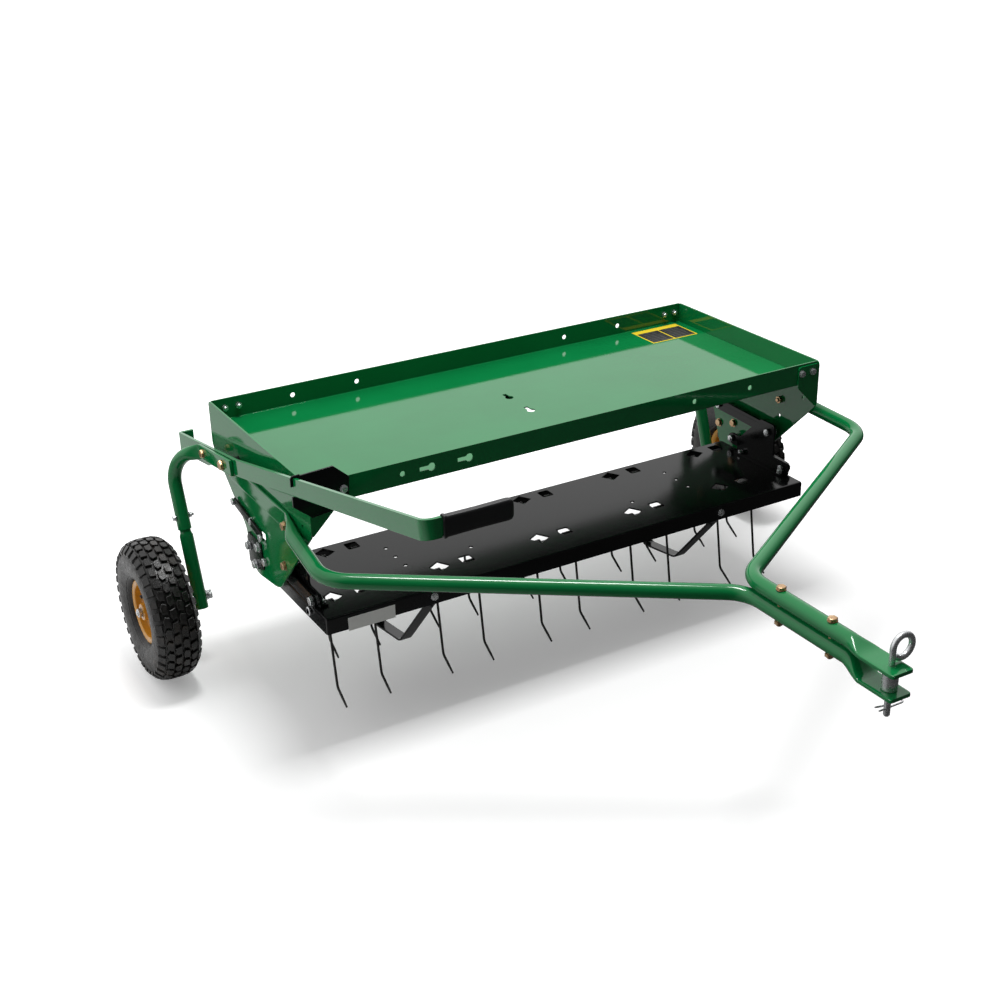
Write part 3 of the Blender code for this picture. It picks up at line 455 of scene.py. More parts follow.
def make_drawbar(side):
    """One drawbar tube: flat strip on the end plate, outer bend, centre bend, flattened jaw."""
    node = side_name("drawbar", side)
    low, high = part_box(node)
    strip_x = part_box("end_plate_right")[1].x + FIT + STRIP_HALF
    tube_z, jaw_z = TUBE_Z[side], JAW_Z[side]
    tip_y = low.y
    corners = [
        (side * strip_x, high.y, 0.397), (side * strip_x, 0.196, 0.397), (side * 0.539, 0.148, 0.392),
        (side * 0.550, 0.006, 0.380), (0, -0.341, tube_z), (0, -0.564, tube_z),
        (0, -0.585, (tube_z + jaw_z) / 2), (0, -0.604, jaw_z), (0, tip_y + 0.014, jaw_z),
        (0, tip_y + 0.003, jaw_z), (0, tip_y, jaw_z),
    ]
    path = refined(bent_path(corners, [0, 0, 0.060, 0.060, 0, 0, 0, 0, 0]), 0.008)
    strip, jaw, tip = (0.017, STRIP_HALF, 0.2), (0.003, 0.020, 0.2), (0.003, 0.0175, 0.2)

    def section(point):
        if point.y > 0:
            return mix(ROUND_TUBE, strip, (point.y - 0.148) / 0.045)
        if point.y < tip_y + 0.004:
            return mix(jaw, tip, (tip_y + 0.004 - point.y) / 0.004)
        return mix(ROUND_TUBE, jaw, (-0.564 - point.y) / 0.040)

    bm = bmesh.new()
    add_loft(bm, path, section, Z_AXIS)
    to_piece(node + "_tube", bm, "frame", SLOT_OF[node], (node,), 50.0)


def leg_line(side):
    """The leg's straight lower run: its top corner and its direction down to the axle."""
    axle = JOINT_AT[side_name("wheel", side) + "_spin"]
    x = side * abs(centre_of(side_name("leg_lower", side)).x)
    top = Vector((x, *LEG_TOP))
    return top, (Vector((x, axle.y, axle.z)) - top).normalized()


def make_leg(side):
    """The cranked leg in two tubes, with the lower one's narrowed neck just under the joint."""
    top, heading = leg_line(side)
    split = top + heading * ((LEG_SPLIT_Z - top.z) / heading.z)
    flat_x = side * (abs(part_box("lift_handle")[0].x) + 0.00315)
    corners = [(flat_x, 0.372, 0.4345), (flat_x, 0.530, 0.410), tuple(top), tuple(split)]
    path = refined(bent_path(corners, [0.015, 0.055], 16), 0.008)
    flat = (0.00285, 0.014, 0.3)

    def upper_section(point):
        return mix(flat, ROUND_TUBE, (abs(point.x) - abs(flat_x) - 0.001) / 0.018)

    upper = side_name("leg_upper", side)
    bm = bmesh.new()
    add_loft(bm, path, upper_section, X_AXIS)
    to_piece(upper + "_tube", bm, "lift", SLOT_OF[upper], (upper,), 50.0)

    lower = side_name("leg_lower", side)
    axle_z = JOINT_AT[side_name("wheel", side) + "_spin"].z
    end = top + heading * ((axle_z - top.z) / heading.z + 0.0225)
    stations = [(0.0005, 0.0102), (0.006, 0.0102), (0.012, TUBE_RADIUS)]
    path = [split + heading * along for along, _ in stations]
    path += [end - heading * 0.001, end]
    sizes = [radius for _, radius in stations] + [TUBE_RADIUS, TUBE_RADIUS - 0.001]

    def lower_section(point):
        return (sizes[path.index(point)], sizes[path.index(point)], 1.0)

    bm = bmesh.new()
    add_loft(bm, path, lower_section, X_AXIS)
    to_piece(lower + "_tube", bm, "lift", SLOT_OF[lower], (lower,), 50.0)

    bm = bmesh.new()
    joint = split - heading * 0.024
    outward, reach = X_AXIS * side, TUBE_RADIUS + FIT
    add_bolt(bm, joint + outward * reach, outward, 2 * reach, 0.006, 0.004)
    to_piece(side_name("leg_joint_bolt", side), bm, "lift", "silver_zinc")


# Wheels -------------------------------------------------------------------------------------------
TYRE_CROWN = ((0.0, 0.1273), (0.010, 0.1271), (0.020, 0.1259), (0.0285, 0.1230), (0.0350, 0.1182),
              (0.0385, 0.1112))
TREAD_PITCHES = 34
TREAD_COLUMNS = (-0.0215, -0.0073, 0.0073, 0.0215)


def crown_radius(lateral):
    """The carcass radius at a distance from the tyre's middle."""
    lateral = min(abs(lateral), TYRE_CROWN[-1][0])
    for (x0, r0), (x1, r1) in zip(TYRE_CROWN, TYRE_CROWN[1:]):
        if lateral <= x1:
            return r0 + (r1 - r0) * (lateral - x0) / (x1 - x0)
    return TYRE_CROWN[-1][1]


def add_lug(bm, stand, angle, lateral, outline, height, slope):
    """A tread block: an outline of (along the tread, across it) raised from the crown."""
    loops = []
    for lift, shrink in ((-0.0015, 1.06), (height - 0.0006, 1.0), (height, 0.90)):
        loop = []
        for along, across in outline:
            x = lateral + across * shrink
            radius = crown_radius(x) + lift * math.cos(slope)
            turn = angle + along * shrink / 0.130
            out = x + math.copysign(lift * math.sin(slope), lateral) if lateral else x
            place = Vector((radius * math.cos(turn), radius * math.sin(turn), out))
            loop.append(bm.verts.new(stand @ place))
        loops.append(loop)
    skin_and_cap(bm, loops)


def make_tyre(side):
    """The tyre: a carcass with rounded sidewalls and bead ridges, and staggered tread blocks."""
    node = side_name("tyre", side)
    stand = axis_frame(JOINT_AT[side_name("wheel", side) + "_spin"], X_AXIS * side)
    half = [(0.0258, 0.0525), (0.0258, 0.0608), (0.0300, 0.0622), (0.0345, 0.0665), (0.0350, 0.0690),
            (0.0362, 0.0698), (0.0385, 0.0760), (0.0402, 0.0820), (0.0412, 0.0870), (0.0409, 0.0885),
            (0.0414, 0.0900), (0.0416, 0.0960), (0.0409, 0.1040), (0.0398, 0.1085)]
    half += reversed(TYRE_CROWN)
    inner = [(0.0, 0.1235), (0.031, 0.1140), (0.0345, 0.0950), (0.033, 0.0800), (0.022, 0.0660),
             (0.018, 0.0525)]
    profile = half + [(-x, r) for x, r in reversed(half) if x]
    profile += [(-x, r) for x, r in reversed(inner) if x] + inner
    bm = bmesh.new()
    add_lathe(bm, stand, profile, 96)
    step = 2 * math.pi / TREAD_PITCHES
    arrow = [(-0.0100, -0.0052), (-0.0075, 0.0052), (0.0030, 0.0058), (0.0098, 0.0020), (0.0072, -0.0058),
             (-0.0025, -0.0060)]
    shoulder = [(-0.0085, -0.0045), (0.0085, -0.0045), (0.0065, 0.0060), (-0.0065, 0.0060)]
    far_shoulder = [(along, -across) for along, across in reversed(shoulder)]
    for index in range(TREAD_PITCHES):
        for column, lateral in enumerate(TREAD_COLUMNS):
            flip = 1 if column % 2 else -1
            outline = [(along * flip, across) for along, across in arrow]
            if flip < 0:
                outline.reverse()
            add_lug(bm, stand, step * (index + 0.5 * (column % 2)), lateral, outline, 0.0055, 0.0)
        for edge in (LEFT, RIGHT):
            outline = shoulder if edge == RIGHT else far_shoulder
            turn = step * (index + (0.5 if edge == LEFT else 0.0))
            add_lug(bm, stand, turn, edge * 0.0325, outline, 0.0044, 0.75)
    to_piece(node + "_tread", bm, BODY_OF[node], SLOT_OF[node], (node,), 32.0)


def make_rim(side):
    """The pressed rim: rolled flanges, stepped dish, hub, and the valve stem."""
    node = side_name("rim", side)
    stand = axis_frame(JOINT_AT[side_name("wheel", side) + "_spin"], X_AXIS * side)
    profile = [
        (-0.0290, 0.0578), (-0.0286, 0.0592), (-0.0275, 0.0600), (-0.0262, 0.0592), (-0.0262, 0.0520),
        (-0.0245, 0.0508), (-0.0140, 0.0505), (-0.0110, 0.0490), (0.0110, 0.0490), (0.0140, 0.0505),
        (0.0245, 0.0508), (0.0262, 0.0520), (0.0262, 0.0592), (0.0275, 0.0600), (0.0286, 0.0592),
        (0.0290, 0.0578), (0.0284, 0.0520), (0.0265, 0.0492), (0.0165, 0.0482), (0.0130, 0.0465),
        (0.0100, 0.0440), (0.0092, 0.0360), (0.0105, 0.0270), (0.0140, 0.0205), (0.0180, 0.0172),
        (0.0290, 0.0165), (0.0305, 0.0152), (0.0305, 0.0095), (-0.0305, 0.0095), (-0.0305, 0.0152),
        (-0.0290, 0.0165), (0.0060, 0.0175), (0.0075, 0.0205), (0.0070, 0.0270), (0.0060, 0.0360),
        (0.0070, 0.0455), (-0.0250, 0.0485), (-0.0280, 0.0520),
    ]
    bm = bmesh.new()
    add_lathe(bm, stand, profile, 72)
    to_piece(node + "_pressed", bm, BODY_OF[node], SLOT_OF[node], (node,), 40.0)

    bm = bmesh.new()
    for index in range(4):
        turn = Matrix.Rotation(math.radians(45 + 90 * index), 4, "Z")
        at = stand @ turn @ Vector((0.034, 0.0, 0.0095))
        add_bolt(bm, at, X_AXIS * side, 0.002, 0.006, 0.004, nut=False, washer=False)
    to_piece(side_name("rim_bolts", side), bm, BODY_OF[node], "silver_zinc")

    bm = bmesh.new()
    stem = axis_frame(stand @ Vector((0.0, 0.0385, 0.0085)), stand.to_3x3() @ Vector((0.0, -0.35, 0.9)))
    add_rings(bm, stem, [(0.0, 0.0052), (0.003, 0.0050), (0.006, 0.0034), (0.016, 0.0030), (0.0162, 0.0036),
                         (0.0215, 0.0036), (0.0225, 0.0028)], 16)
    to_piece(side_name("valve_stem", side), bm, BODY_OF[node], "grip_vinyl")


def make_axle(side):
    """The axle bolt with its hex head inboard of the leg, and the hub sleeve, washer and nut outboard."""
    bolt, bushing = side_name("axle_bolt", side), side_name("wheel_bushing", side)
    at = JOINT_AT[side_name("wheel", side) + "_spin"]
    low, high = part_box(bolt)
    inner, outer = sorted((abs(low.x), abs(high.x)))
    hub_end = max(abs(corner.x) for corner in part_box(bushing))
    hub_start = min(abs(corner.x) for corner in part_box(bushing))
    stand = axis_frame(Vector((0, at.y, at.z)), X_AXIS * side)
    bm = bmesh.new()
    add_hex(bm, stand, inner, inner + 0.0075, 0.0165)
    add_rings(bm, stand, [(inner + 0.0077, 0.0095), (inner + 0.0093, 0.0095)], 24)
    add_rings(bm, stand, [(inner + 0.005, 0.0058), (hub_end + 0.002, 0.0058)], 20)
    add_rings(bm, stand, [(hub_end + 0.0004, 0.0095), (hub_end + 0.0018, 0.0095)], 24)
    add_hex(bm, stand, hub_end + 0.0019, hub_end + 0.0080, 0.0160)
    add_thread(bm, stand, hub_end + 0.0075, outer, 0.0050)
    to_piece(bolt + "_hex", bm, BODY_OF[bolt], SLOT_OF[bolt], (bolt,))
    bm = bmesh.new()
    add_lathe(bm, stand, [(hub_start, 0.0087), (hub_start + 0.0006, 0.0090), (hub_end - 0.0005, 0.0090),
                          (hub_end, 0.0086), (hub_end, 0.0065), (hub_start, 0.0065)], 40)
    to_piece(bushing + "_turned", bm, BODY_OF[bushing], SLOT_OF[bushing], (bushing,))


# Tines --------------------------------------------------------------------------------------------
def tine_path():
    """One double tine's wire: left tip, knee, coil, bridge behind the rod, right coil, knee and tip."""
    steps = 14
    pitch = 2 * WIRE_RADIUS * 1.02
    finger = bent_path([(FINGER_X, *TIP), (FINGER_X, *KNEE), (FINGER_X, -COIL_RADIUS, -0.004)], [0.012], 6)
    half = refined(finger, 0.02)
    count = int(COIL_TURNS * steps)
    for step in range(count + 1):
        turn = math.pi - 2 * math.pi * step / steps
        x = FINGER_X - pitch * step / steps
        half.append(Vector((x, COIL_RADIUS * math.cos(turn), COIL_RADIUS * math.sin(turn))))
    other = [Vector((-point.x, point.y, point.z)) for point in reversed(half)]
    return half + other


def make_tines():
    path = tine_path()
    for index in range(1, 11):
        node = "tine_" + str(index)
        at = JOINT_AT[node + "_flex"]
        bm = bmesh.new()
        add_wire(bm, [at + point for point in path], WIRE_RADIUS, 10)
        to_piece(node + "_spring", bm, BODY_OF[node], SLOT_OF[node], (node,), 60.0)


# Fasteners ----------------------------------------------------------------------------------------
def make_link_bolts():
    """The links' pivot bolts: hex heads outboard, nuts inboard, a spacer or washer in the gap."""
    for side in (LEFT, RIGHT):
        for place in ("upper_frame", "lower_frame", "upper_deck", "lower_deck"):
            node = side_name(place + "_bolt", side)
            low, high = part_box(node)
            middle = (low + high) / 2
            inner, outer = sorted((abs(low.x), abs(high.x)))
            stand = axis_frame(Vector((0, middle.y, middle.z)), X_AXIS * side)
            bm = bmesh.new()
            if place.endswith("frame"):
                gap_low, gap_high, spacer = 0.5113, 0.5217, 0.0075
            else:
                gap_low, gap_high, spacer = 0.5033, 0.5057, 0.0085
            nut_low = inner + 0.0015
            add_hex(bm, stand, outer - 0.0040, outer, 0.0138)
            add_rings(bm, stand, [(outer - 0.0051, 0.0080), (outer - 0.0041, 0.0080)], 24)
            add_rings(bm, stand, [(nut_low, 0.0043), (outer - 0.005, 0.0043)], 16)
            add_rings(bm, stand, [(gap_low, spacer), (gap_high, spacer)], 24)
            add_hex(bm, stand, nut_low, nut_low + 0.0052, 0.0128)
            add_thread(bm, stand, nut_low + 0.001, inner, 0.0042)
            to_piece(node + "_hex", bm, BODY_OF[node], SLOT_OF[node], (node,))


def make_lift_bolts():
    """The lift shaft's end bolts, and the bolts that clamp the legs to the handle and the arm."""
    for side in (LEFT, RIGHT):
        for base in ("pivot_bolt", "leg_clamp_bolt"):
            node = side_name(base, side)
            low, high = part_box(node)
            middle = (low + high) / 2
            inner, outer = sorted((abs(low.x), abs(high.x)))
            stand = axis_frame(Vector((0, middle.y, middle.z)), X_AXIS * side)
            bm = bmesh.new()
            across = 0.0155 if base == "pivot_bolt" else 0.0135
            add_rings(bm, stand, [(outer - 0.0055, across * 0.62), (outer - 0.0043, across * 0.62)], 24)
            add_hex(bm, stand, outer - 0.0044, outer, across)
            add_rings(bm, stand, [(inner + 0.001, 0.0044), (outer - 0.004, 0.0044)], 16)
            if base == "leg_clamp_bolt":
                add_hex(bm, stand, inner + 0.002, inner + 0.0078, 0.0128)
            add_thread(bm, stand, inner + 0.002, inner, 0.0043)
            to_piece(node + "_hex", bm, "lift", "yellow_zinc", (node,))


def make_drawbar_bolts():
    """The two bolts that clamp the drawbar's tubes together, heads up."""
    for node in ("drawbar_bolt_rear", "drawbar_bolt_front"):
        low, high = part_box(node)
        middle = (low + high) / 2
        stand = axis_frame(Vector((middle.x, middle.y, 0)), Z_AXIS)
        bm = bmesh.new()
        add_rings(bm, stand, [(high.z - 0.0058, 0.0080), (high.z - 0.0046, 0.0080)], 24)
        add_hex(bm, stand, high.z - 0.0047, high.z, 0.0132)
        add_rings(bm, stand, [(low.z + 0.002, 0.0043), (high.z - 0.004, 0.0043)], 16)
        add_hex(bm, stand, low.z + 0.003, low.z + 0.009, 0.0128)
        add_thread(bm, stand, low.z + 0.003, low.z, 0.0042)
        to_piece(node + "_hex", bm, BODY_OF[node], "yellow_zinc", (node,))


def make_plate_bolts():
    """Bolts that the CAD leaves out: drawbar to end plate, tray to flanges, latch plate, deck and skids."""
    tray_low, tray_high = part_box("tray")
    plate_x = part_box("end_plate_right")[1].x
    strip_x = plate_x + FIT + 2 * STRIP_HALF
    for side in (LEFT, RIGHT):
        bm = bmesh.new()
        for y, z in ((0.203, 0.388), (0.436, 0.399)):
            add_bolt(bm, Vector((side * (strip_x + FIT), y, z)), X_AXIS * side, 0.009, 0.008, tail=0.003)
        add_bolt(bm, Vector((side * (plate_x + FIT), 0.232, 0.300)), X_AXIS * side, 0.003, 0.008, nut=False)
        to_piece(side_name("drawbar_plate_bolts", side), bm, "frame", "yellow_zinc")

        bm = bmesh.new()
        front_spots = (0.482, 0.508) if side == RIGHT else (0.466,)
        rear_spots = (0.482, 0.508) if side == RIGHT else (0.471, 0.497)
        face_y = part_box("end_plate_right")[0].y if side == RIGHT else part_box("latch_plate")[0].y
        for x in front_spots:
            at = Vector((side * x, face_y - FIT, TRAY_BOLT_Z))
            add_bolt(bm, at, -Y_AXIS, tray_low.y + TRAY_SHEET - face_y + 2 * FIT, 0.0065, 0.004, tail=0.003)
        back_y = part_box("end_plate_right")[1].y
        for x in rear_spots:
            at = Vector((side * x, back_y + FIT, TRAY_BOLT_Z))
            add_bolt(bm, at, Y_AXIS, back_y - (tray_high.y - TRAY_SHEET) + 2 * FIT, 0.0065, 0.004, tail=0.003)
        to_piece(side_name("tray_bolts", side), bm, "frame", "silver_zinc")

        bm = bmesh.new()
        deck_low, deck_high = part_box("deck")
        foot_z = deck_high.z + 0.0038
        for y in (0.160, 0.280):
            add_bolt(bm, Vector((side * 0.4925, y, foot_z + FIT)), Z_AXIS, 0.007, 0.0055, 0.004, tail=0.002)
        for y, axis in ((deck_low.y - FIT, -Y_AXIS), (deck_high.y + FIT, Y_AXIS)):
            at = Vector((side * SKID_X, y, DECK_BOLT_Z))
            add_bolt(bm, at, axis, 0.0078, 0.0065, 0.004, tail=0.003)
        to_piece(side_name("deck_bolts", side), bm, "deck", "silver_zinc")


def make_link_covers():
    """Outboard of each end plate: a flat black link, a small anchor plate, and the bolts through them."""
    for side in (LEFT, RIGHT):
        bm = bmesh.new()
        ends = [Vector((side * OUTER_LINK_X, *end)) for end in OUTER_LINK_ENDS]
        add_loft(bm, refined(ends, 0.006), lambda _: (0.0019, 0.0080, 0.3), X_AXIS, 20)
        to_piece(side_name("outer_link", side), bm, "frame", "satin_black")

        bm = bmesh.new()
        corners = ((0.331, 0.249), (0.335, 0.296), (0.392, 0.299), (0.400, 0.287), (0.397, 0.240),
                   (0.368, 0.234))
        loops = [[bm.verts.new((side * x, y, z)) for y, z in corners] for x in (0.5254, 0.5282)]
        bm.faces.new(loops[0])
        bm.faces.new(loops[1])
        skin(bm, loops)
        bmesh.ops.recalc_face_normals(bm, faces=bm.faces[:])
        bmesh.ops.bevel(bm, geom=bm.edges[:], offset=0.0005, segments=1, affect="EDGES")
        to_piece(side_name("anchor_plate", side), bm, "frame", "satin_black")

        bm = bmesh.new()
        for y, z in OUTER_LINK_ENDS:
            stand = axis_frame(Vector((0, y, z)), X_AXIS * side)
            add_hex(bm, stand, 0.5310, 0.5352, 0.0125)
        for y, z in ((0.390, 0.273), (0.345, 0.288), (0.365, 0.246)):
            stand = axis_frame(Vector((0, y, z)), X_AXIS * side)
            add_rings(bm, stand, [(0.5285, 0.0095), (0.5297, 0.0095)], 24)
            add_hex(bm, stand, 0.5297, 0.5352, 0.0140)
        to_piece(side_name("outer_link_nuts", side), bm, "frame", "silver_zinc")

        bm = bmesh.new()
        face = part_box("end_plate_right")[1].x - PLATE - FIT
        for y, z in ((0.388, 0.277), (0.342, 0.291)):
            stand = axis_frame(Vector((0, y, z)), X_AXIS * side)
            add_rings(bm, stand, [(face, 0.0085), (face - 0.0011, 0.0085)], 24)
            add_hex(bm, stand, face - 0.0056, face - 0.0011, 0.0128)
        to_piece(side_name("anchor_bolts", side), bm, "frame", "yellow_zinc")


# Hitch --------------------------------------------------------------------------------------------
def make_hitch():
    """The pin bent into an eye, its spacer with a dark ring over its top, and the hairpin clip."""
    low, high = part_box("hitch_pin")
    at = JOINT_AT["hitch_pin_turn"]
    wire = (high.y - low.y) / 2
    eye_radius = (high.x - low.x) / 2 - wire
    eye = Vector((at.x + eye_radius, at.y, high.z - wire - eye_radius))
    route = [Vector((at.x, at.y, low.z)), Vector((at.x, at.y, low.z + 0.002))]
    for step in range(41):
        angle = math.radians(180 - 322 * step / 40)
        route.append(eye + Vector((math.cos(angle), 0, math.sin(angle))) * eye_radius)
    bm = bmesh.new()
    add_wire(bm, route, wire, 20)
    to_piece("hitch_pin_eye", bm, "hitch_pin", "silver_zinc", ("hitch_pin",), 50.0)

    low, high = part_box("hitch_spacer")
    outer, bore = (high.x - low.x) / 2, wire + 0.0006
    stand = axis_frame(Vector((at.x, at.y, 0)), Z_AXIS)
    sleeve_top = high.z - 0.006
    bm = bmesh.new()
    add_lathe(bm, stand, [(low.z, outer - 0.0008), (low.z + 0.0008, outer), (sleeve_top - 0.0008, outer),
                          (sleeve_top, outer - 0.0008), (sleeve_top, bore), (low.z, bore)], 48)
    to_piece("hitch_spacer_turned", bm, "frame", "silver_zinc", ("hitch_spacer",))
    # a dark ring filling the top 6 mm of the spacer's gap, under the upper jaw, in the grip's dark vinyl
    bm = bmesh.new()
    add_lathe(bm, stand, [(sleeve_top + 0.0003, outer - 0.0022), (high.z, outer - 0.0018), (high.z, bore),
                          (sleeve_top + 0.0003, bore)], 40)
    to_piece("hitch_dark_top_ring", bm, "frame", "grip_vinyl")

    low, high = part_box("hitch_clip")
    bend = 0.0045
    z = (low.z + high.z) / 2
    straight = [Vector((low.x + 0.001, at.y, z)), Vector((high.x - bend - 0.002, at.y, z))]
    turn = straight[-1] + Vector((0, bend, 0))
    curl = [turn + Vector((math.cos(a), math.sin(a), 0)) * bend
            for a in (math.radians(-90 + 20 * step) for step in range(1, 10))]
    wave = ((0.014, 0.0092), (0.006, 0.0072), (-0.002, 0.0072), (-0.013, 0.0102))
    tail = [Vector((x, at.y + y, z)) for x, y in wave]
    bm = bmesh.new()
    add_wire(bm, refined(straight + curl + tail, 0.004), 0.0014, 10)
    to_piece("hitch_clip_wire", bm, "hitch_pin", "silver_zinc", ("hitch_clip",), 60.0)


# Handle, labels -----------------------------------------------------------------------------------
def make_grip():
    """The dipped vinyl grip: a rounded flat sleeve with a lip at its open end."""
    low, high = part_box("handle_grip")
    middle = (low + high) / 2
    half_z, half_y = (high.z - low.z) / 2, (high.y - low.y) / 2
    stations = [(0.0, 0.90), (0.001, 1.0), (0.004, 1.0), (0.006, 0.93), (0.050, 0.90), (0.098, 0.93),
                (0.103, 0.88), (0.1058, 0.72), (0.107, 0.45)]
    path = [Vector((low.x + along, middle.y, middle.z)) for along, _ in stations]
    share = {round(low.x + along, 6): scale for along, scale in stations}

    def section(point):
        scale = share[round(point.x, 6)]
        return (half_z * scale, half_y * scale, 0.45)

    bm = bmesh.new()
    add_loft(bm, path, section, Z_AXIS, 40)
    to_piece("handle_grip_vinyl", bm, "lift", "grip_vinyl", ("handle_grip",), 50.0)


def make_keeper():
    """The small black catch finger, carried by the handle bar where it crosses the latch plate."""
    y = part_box("latch_plate")[0].y + 0.0017
    hook = bent_path([(-0.538, y, 0.5185), (-0.5515, y, 0.5178), (-0.5515, y, 0.503)], [0.003], 5)
    bm = bmesh.new()
    add_loft(bm, refined(hook, 0.004), lambda _: (0.0016, 0.0030, 0.35), Y_AXIS, 16)
    to_piece("handle_keeper", bm, "lift", "satin_black")


def add_slab(bm, low, high):
    low, high = Vector(low), Vector(high)
    size = Matrix.Diagonal((*(high - low), 1.0))
    bmesh.ops.create_cube(bm, size=1.0, matrix=Matrix.Translation((low + high) / 2) @ size)


def to_sticker(name, bm, body, print_material):
    """A thin piece on green or black paint, shown in its own printed material."""
    piece = to_piece(name, bm, body, "tractor_green")
    piece.data.materials.clear()
    piece.data.materials.append(print_material)


def make_labels():
    """A generic tray label in layers, with bars in place of lettering, and a plain sticker in front."""
    x0, x1, y0, y1 = 0.392, 0.504, 0.450, 0.529

    def layer(name, boxes, low, high, material):
        bm = bmesh.new()
        for box in boxes:
            add_slab(bm, (box[0], box[1], low), (box[2], box[3], high))
        to_sticker(name, bm, "frame", material)

    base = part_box("tray")[0].z + TRAY_SHEET + 0.0001
    layer("tray_label_sheet", [(x0, y0, x1, y1)], base, base + 0.0002, LABEL_YELLOW)
    half = (x0 + x1) / 2
    panels = [(left, y0 + 0.003, right, y1 - 0.016)
              for left, right in ((x0 + 0.003, half - 0.0015), (half + 0.0015, x1 - 0.003))]
    layer("tray_label_panels", panels, base + 0.0002, base + 0.0003, LABEL_BLACK)
    bars = []
    rows = 7
    for left, low_y, right, high_y in panels:
        for row in range(rows):
            y = low_y + 0.005 + row * (high_y - low_y - 0.010) / (rows - 1)
            inset = 0.004 + 0.006 * ((row * 3) % 4) / 3
            bars.append((left + 0.005, y - 0.0005, right - inset, y + 0.0005))
    layer("tray_label_bars", bars, base + 0.0003, base + 0.0004, LABEL_GREY)

    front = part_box("deck")[0].y
    bm = bmesh.new()
    add_slab(bm, (-0.470, front - 0.0004, 0.216), (-0.383, front - 0.0001, 0.2405))
    to_sticker("deck_front_sticker", bm, "deck", LABEL_PALE)


# Stage, light and camera --------------------------------------------------------------------------
def floor_material():
    """White paper that to the camera also has a painted glow, stronger further from the machine, which whitens the
    far floor and lightens the cast shadows. What it throws back on the machine is a painted shade, dimmer in
    front, so front faces keep their depth.
    """
    material = bpy.data.materials.new("floor")
    material.use_nodes = True
    tree = material.node_tree
    tree.nodes.clear()
    output, split, seen, paper, glow, unseen, path, place, toward, shade, grey, distance, lift = (
        tree.nodes.new("ShaderNode" + kind) for kind in (
            "OutputMaterial", "MixShader", "AddShader", "BsdfDiffuse", "Emission", "BsdfDiffuse", "LightPath",
            "NewGeometry", "VectorMath", "MapRange", "CombineColor", "VectorMath", "MapRange"))
    paper.inputs["Color"].default_value = (0.93, 0.93, 0.93, 1.0)
    distance.operation = "LENGTH"
    # painted glow for camera rays only: emission from 0.11 near the machine up to 0.60 beyond 1.3 m, lightening
    # the cast shadows on the floor
    for key, number in (("From Min", 0.6), ("From Max", 1.3), ("To Min", 0.11), ("To Max", 0.60)):
        lift.inputs[key].default_value = number
    toward.operation = "DOT_PRODUCT"
    toward.inputs[1].default_value = (-0.6, 0.8, 0.0)
    # painted shade for rays other than the camera's: the floor's grey runs from 0.05 in front and to the right up
    # to 0.70 behind and to the left
    for key, number in (("From Min", -0.3), ("From Max", 0.7), ("To Min", 0.05), ("To Max", 0.70)):
        shade.inputs[key].default_value = number
    links = [
        (place.outputs["Position"], distance.inputs[0]), (distance.outputs["Value"], lift.inputs["Value"]),
        (lift.outputs["Result"], glow.inputs["Strength"]), (place.outputs["Position"], toward.inputs[0]),
        (toward.outputs["Value"], shade.inputs["Value"]), (shade.outputs["Result"], grey.inputs[0]),
        (shade.outputs["Result"], grey.inputs[1]), (shade.outputs["Result"], grey.inputs[2]),
        (grey.outputs["Color"], unseen.inputs["Color"]), (paper.outputs["BSDF"], seen.inputs[0]),
        (glow.outputs["Emission"], seen.inputs[1]), (path.outputs["Is Camera Ray"], split.inputs[0]),
        (unseen.outputs["BSDF"], split.inputs[1]), (seen.outputs["Shader"], split.inputs[2]),
        (split.outputs["Shader"], output.inputs["Surface"]),
    ]
    for start, end in links:
        tree.links.new(start, end)
    return material


def make_stage():
    bm = bmesh.new()
    bmesh.ops.create_grid(bm, x_segments=1, y_segments=1, size=18.0)
    mesh = bpy.data.meshes.new("floor")
    bm.to_mesh(mesh)
    bm.free()
    mesh.materials.append(floor_material())
    floor = bpy.data.objects.new("floor", mesh)
    floor.location = (0, 0, -0.0005)
    bpy.context.scene.collection.objects.link(floor)


def make_lights():
    """A sky that is bright behind the machine and dim in front, and one softbox overhead."""
    world = bpy.data.worlds.new("studio")
    world.use_nodes = True
    tree = world.node_tree
    place, toward, ramp, path, seen = (
        tree.nodes.new("ShaderNode" + kind)
        for kind in ("TexCoord", "VectorMath", "MapRange", "LightPath", "Math"))
    seen.operation = "MAXIMUM"
    toward.operation = "DOT_PRODUCT"
    toward.inputs[1].default_value = (-0.22, 0.92, 0.32)
    ramp.interpolation_type = "SMOOTHSTEP"
    for key, number in (("From Min", -0.35), ("From Max", 0.45), ("To Min", 0.05), ("To Max", 1.12)):
        ramp.inputs[key].default_value = number
    background = tree.nodes["Background"]
    background.inputs["Color"].default_value = (1.0, 1.0, 1.0, 1.0)
    tree.links.new(place.outputs["Generated"], toward.inputs[0])
    tree.links.new(toward.outputs["Value"], ramp.inputs["Value"])
    tree.links.new(ramp.outputs["Result"], seen.inputs[0])
    tree.links.new(path.outputs["Is Camera Ray"], seen.inputs[1])
    tree.links.new(seen.outputs["Value"], background.inputs["Strength"])
    bpy.context.scene.world = world

    data = bpy.data.lights.new("softbox", "AREA")
    data.shape = "RECTANGLE"
    data.size, data.size_y = 1.3, 0.6
    data.energy = 60
    light = bpy.data.objects.new("softbox", data)
    light.location = (0.05, 0.25, 3.2)
    bpy.context.scene.collection.objects.link(light)


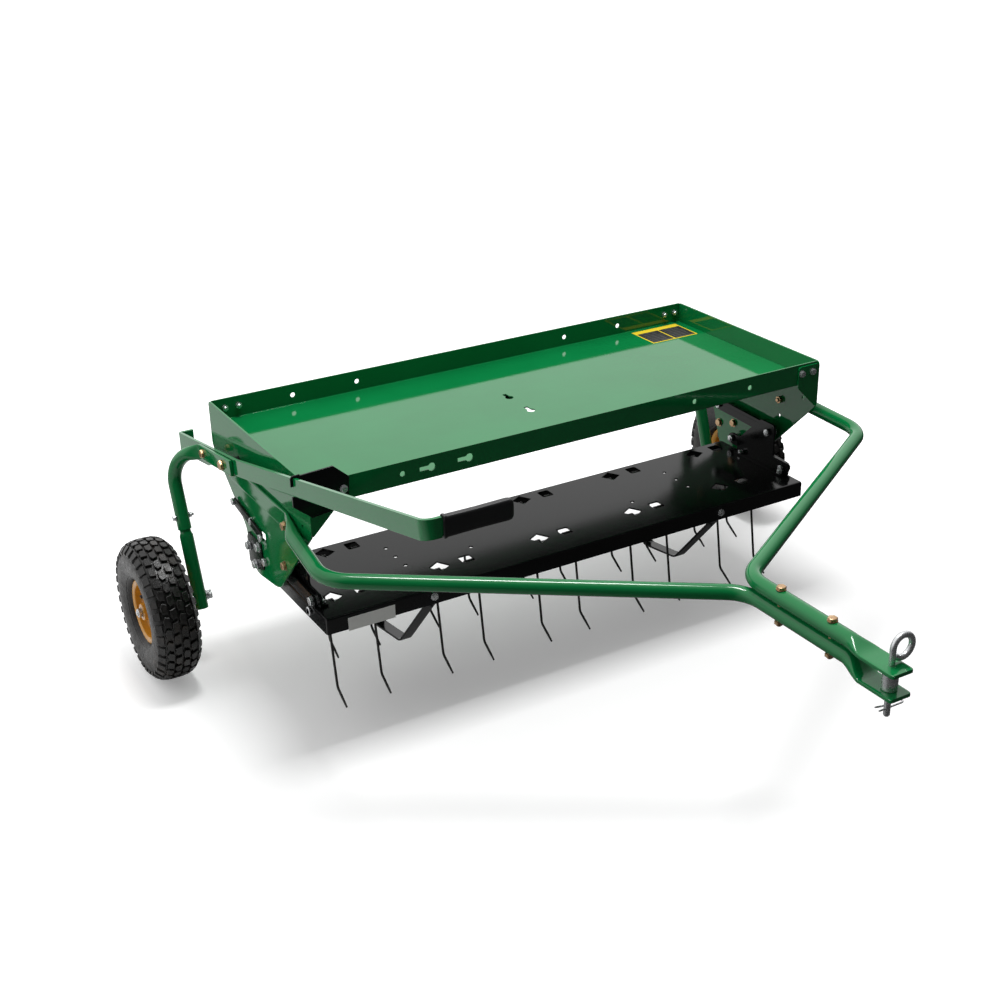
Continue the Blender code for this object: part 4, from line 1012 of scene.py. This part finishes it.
def make_camera():
    """From the front left, about 25 degrees down."""
    yaw, pitch, roll = math.radians(29.96), math.radians(24.93), math.radians(-1.23)
    place = Vector((-1.3231, -1.8840, 1.4511))
    forward = Vector((math.sin(yaw) * math.cos(pitch), math.cos(yaw) * math.cos(pitch), -math.sin(pitch)))
    level = Vector((math.cos(yaw), -math.sin(yaw), 0.0))
    upright = level.cross(forward)
    right = level * math.cos(roll) + upright * math.sin(roll)
    up = upright * math.cos(roll) - level * math.sin(roll)
    data = bpy.data.cameras.new("camera")
    data.sensor_width = 36.0
    data.lens = 53.46
    data.clip_end = 60.0
    camera = bpy.data.objects.new("camera", data)
    camera.matrix_world = Matrix.Translation(place) @ Matrix((right, up, -forward)).transposed().to_4x4()
    bpy.context.scene.collection.objects.link(camera)
    bpy.context.scene.camera = camera


# Assembly -----------------------------------------------------------------------------------------
def make_sheet_parts():
    """Rounded edges: 0.6 mm on folded sheet, 0.8 mm on thick links and brackets, 0.5 mm on strap."""
    for node in ("tray", "end_plate_left", "end_plate_right", "latch_plate", "deck"):
        dress_sheet(node, 0.0006)
    for node in ("lift_arm_right", "deck_bracket_left", "deck_bracket_right", "upper_link_left",
                 "upper_link_right", "lower_link_left", "lower_link_right"):
        dress_sheet(node, 0.0008)
    for node in ("skid_left", "skid_right", "lift_handle"):
        dress_sheet(node, 0.0005)


def make_shafts():
    """The cross shaft and the two tine rods, turned with finer sides."""
    for node, radius, cap in (("lift_shaft", 0.009, 0.0), ("tine_rod_front", 0.006, 0.008),
                              ("tine_rod_rear", 0.006, 0.008)):
        low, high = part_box(node)
        middle = (low + high) / 2
        stand = axis_frame(Vector((0, middle.y, middle.z)), X_AXIS)
        bm = bmesh.new()
        add_rings(bm, stand, [(low.x, radius - 0.001), (low.x + 0.001, radius), (high.x - 0.001, radius),
                              (high.x, radius - 0.001)], 32)
        if cap:
            for a, b in ((low.x, low.x + 0.004), (high.x - 0.004, high.x)):
                rounded = [(a, cap - 0.001), (a + 0.001, cap), (b - 0.001, cap), (b, cap - 0.001)]
                add_rings(bm, stand, rounded, 24)
        to_piece(node + "_turned", bm, BODY_OF[node], SLOT_OF[node], (node,))


make_camera()
make_stage()
make_lights()
make_sheet_parts()
make_shafts()
make_tines()
make_link_bolts()
make_lift_bolts()
make_drawbar_bolts()
make_plate_bolts()
make_link_covers()
make_hitch()
make_grip()
make_keeper()
make_labels()
for side in (LEFT, RIGHT):
    make_drawbar(side)
    make_leg(side)
    make_tyre(side)
    make_rim(side)
    make_axle(side)
for node, obj in frame["nodes"].items():
    obj.material_slots[0].material = MATERIALS[SLOT_OF[node]]

bpy.context.scene.view_settings.view_transform = "Standard"
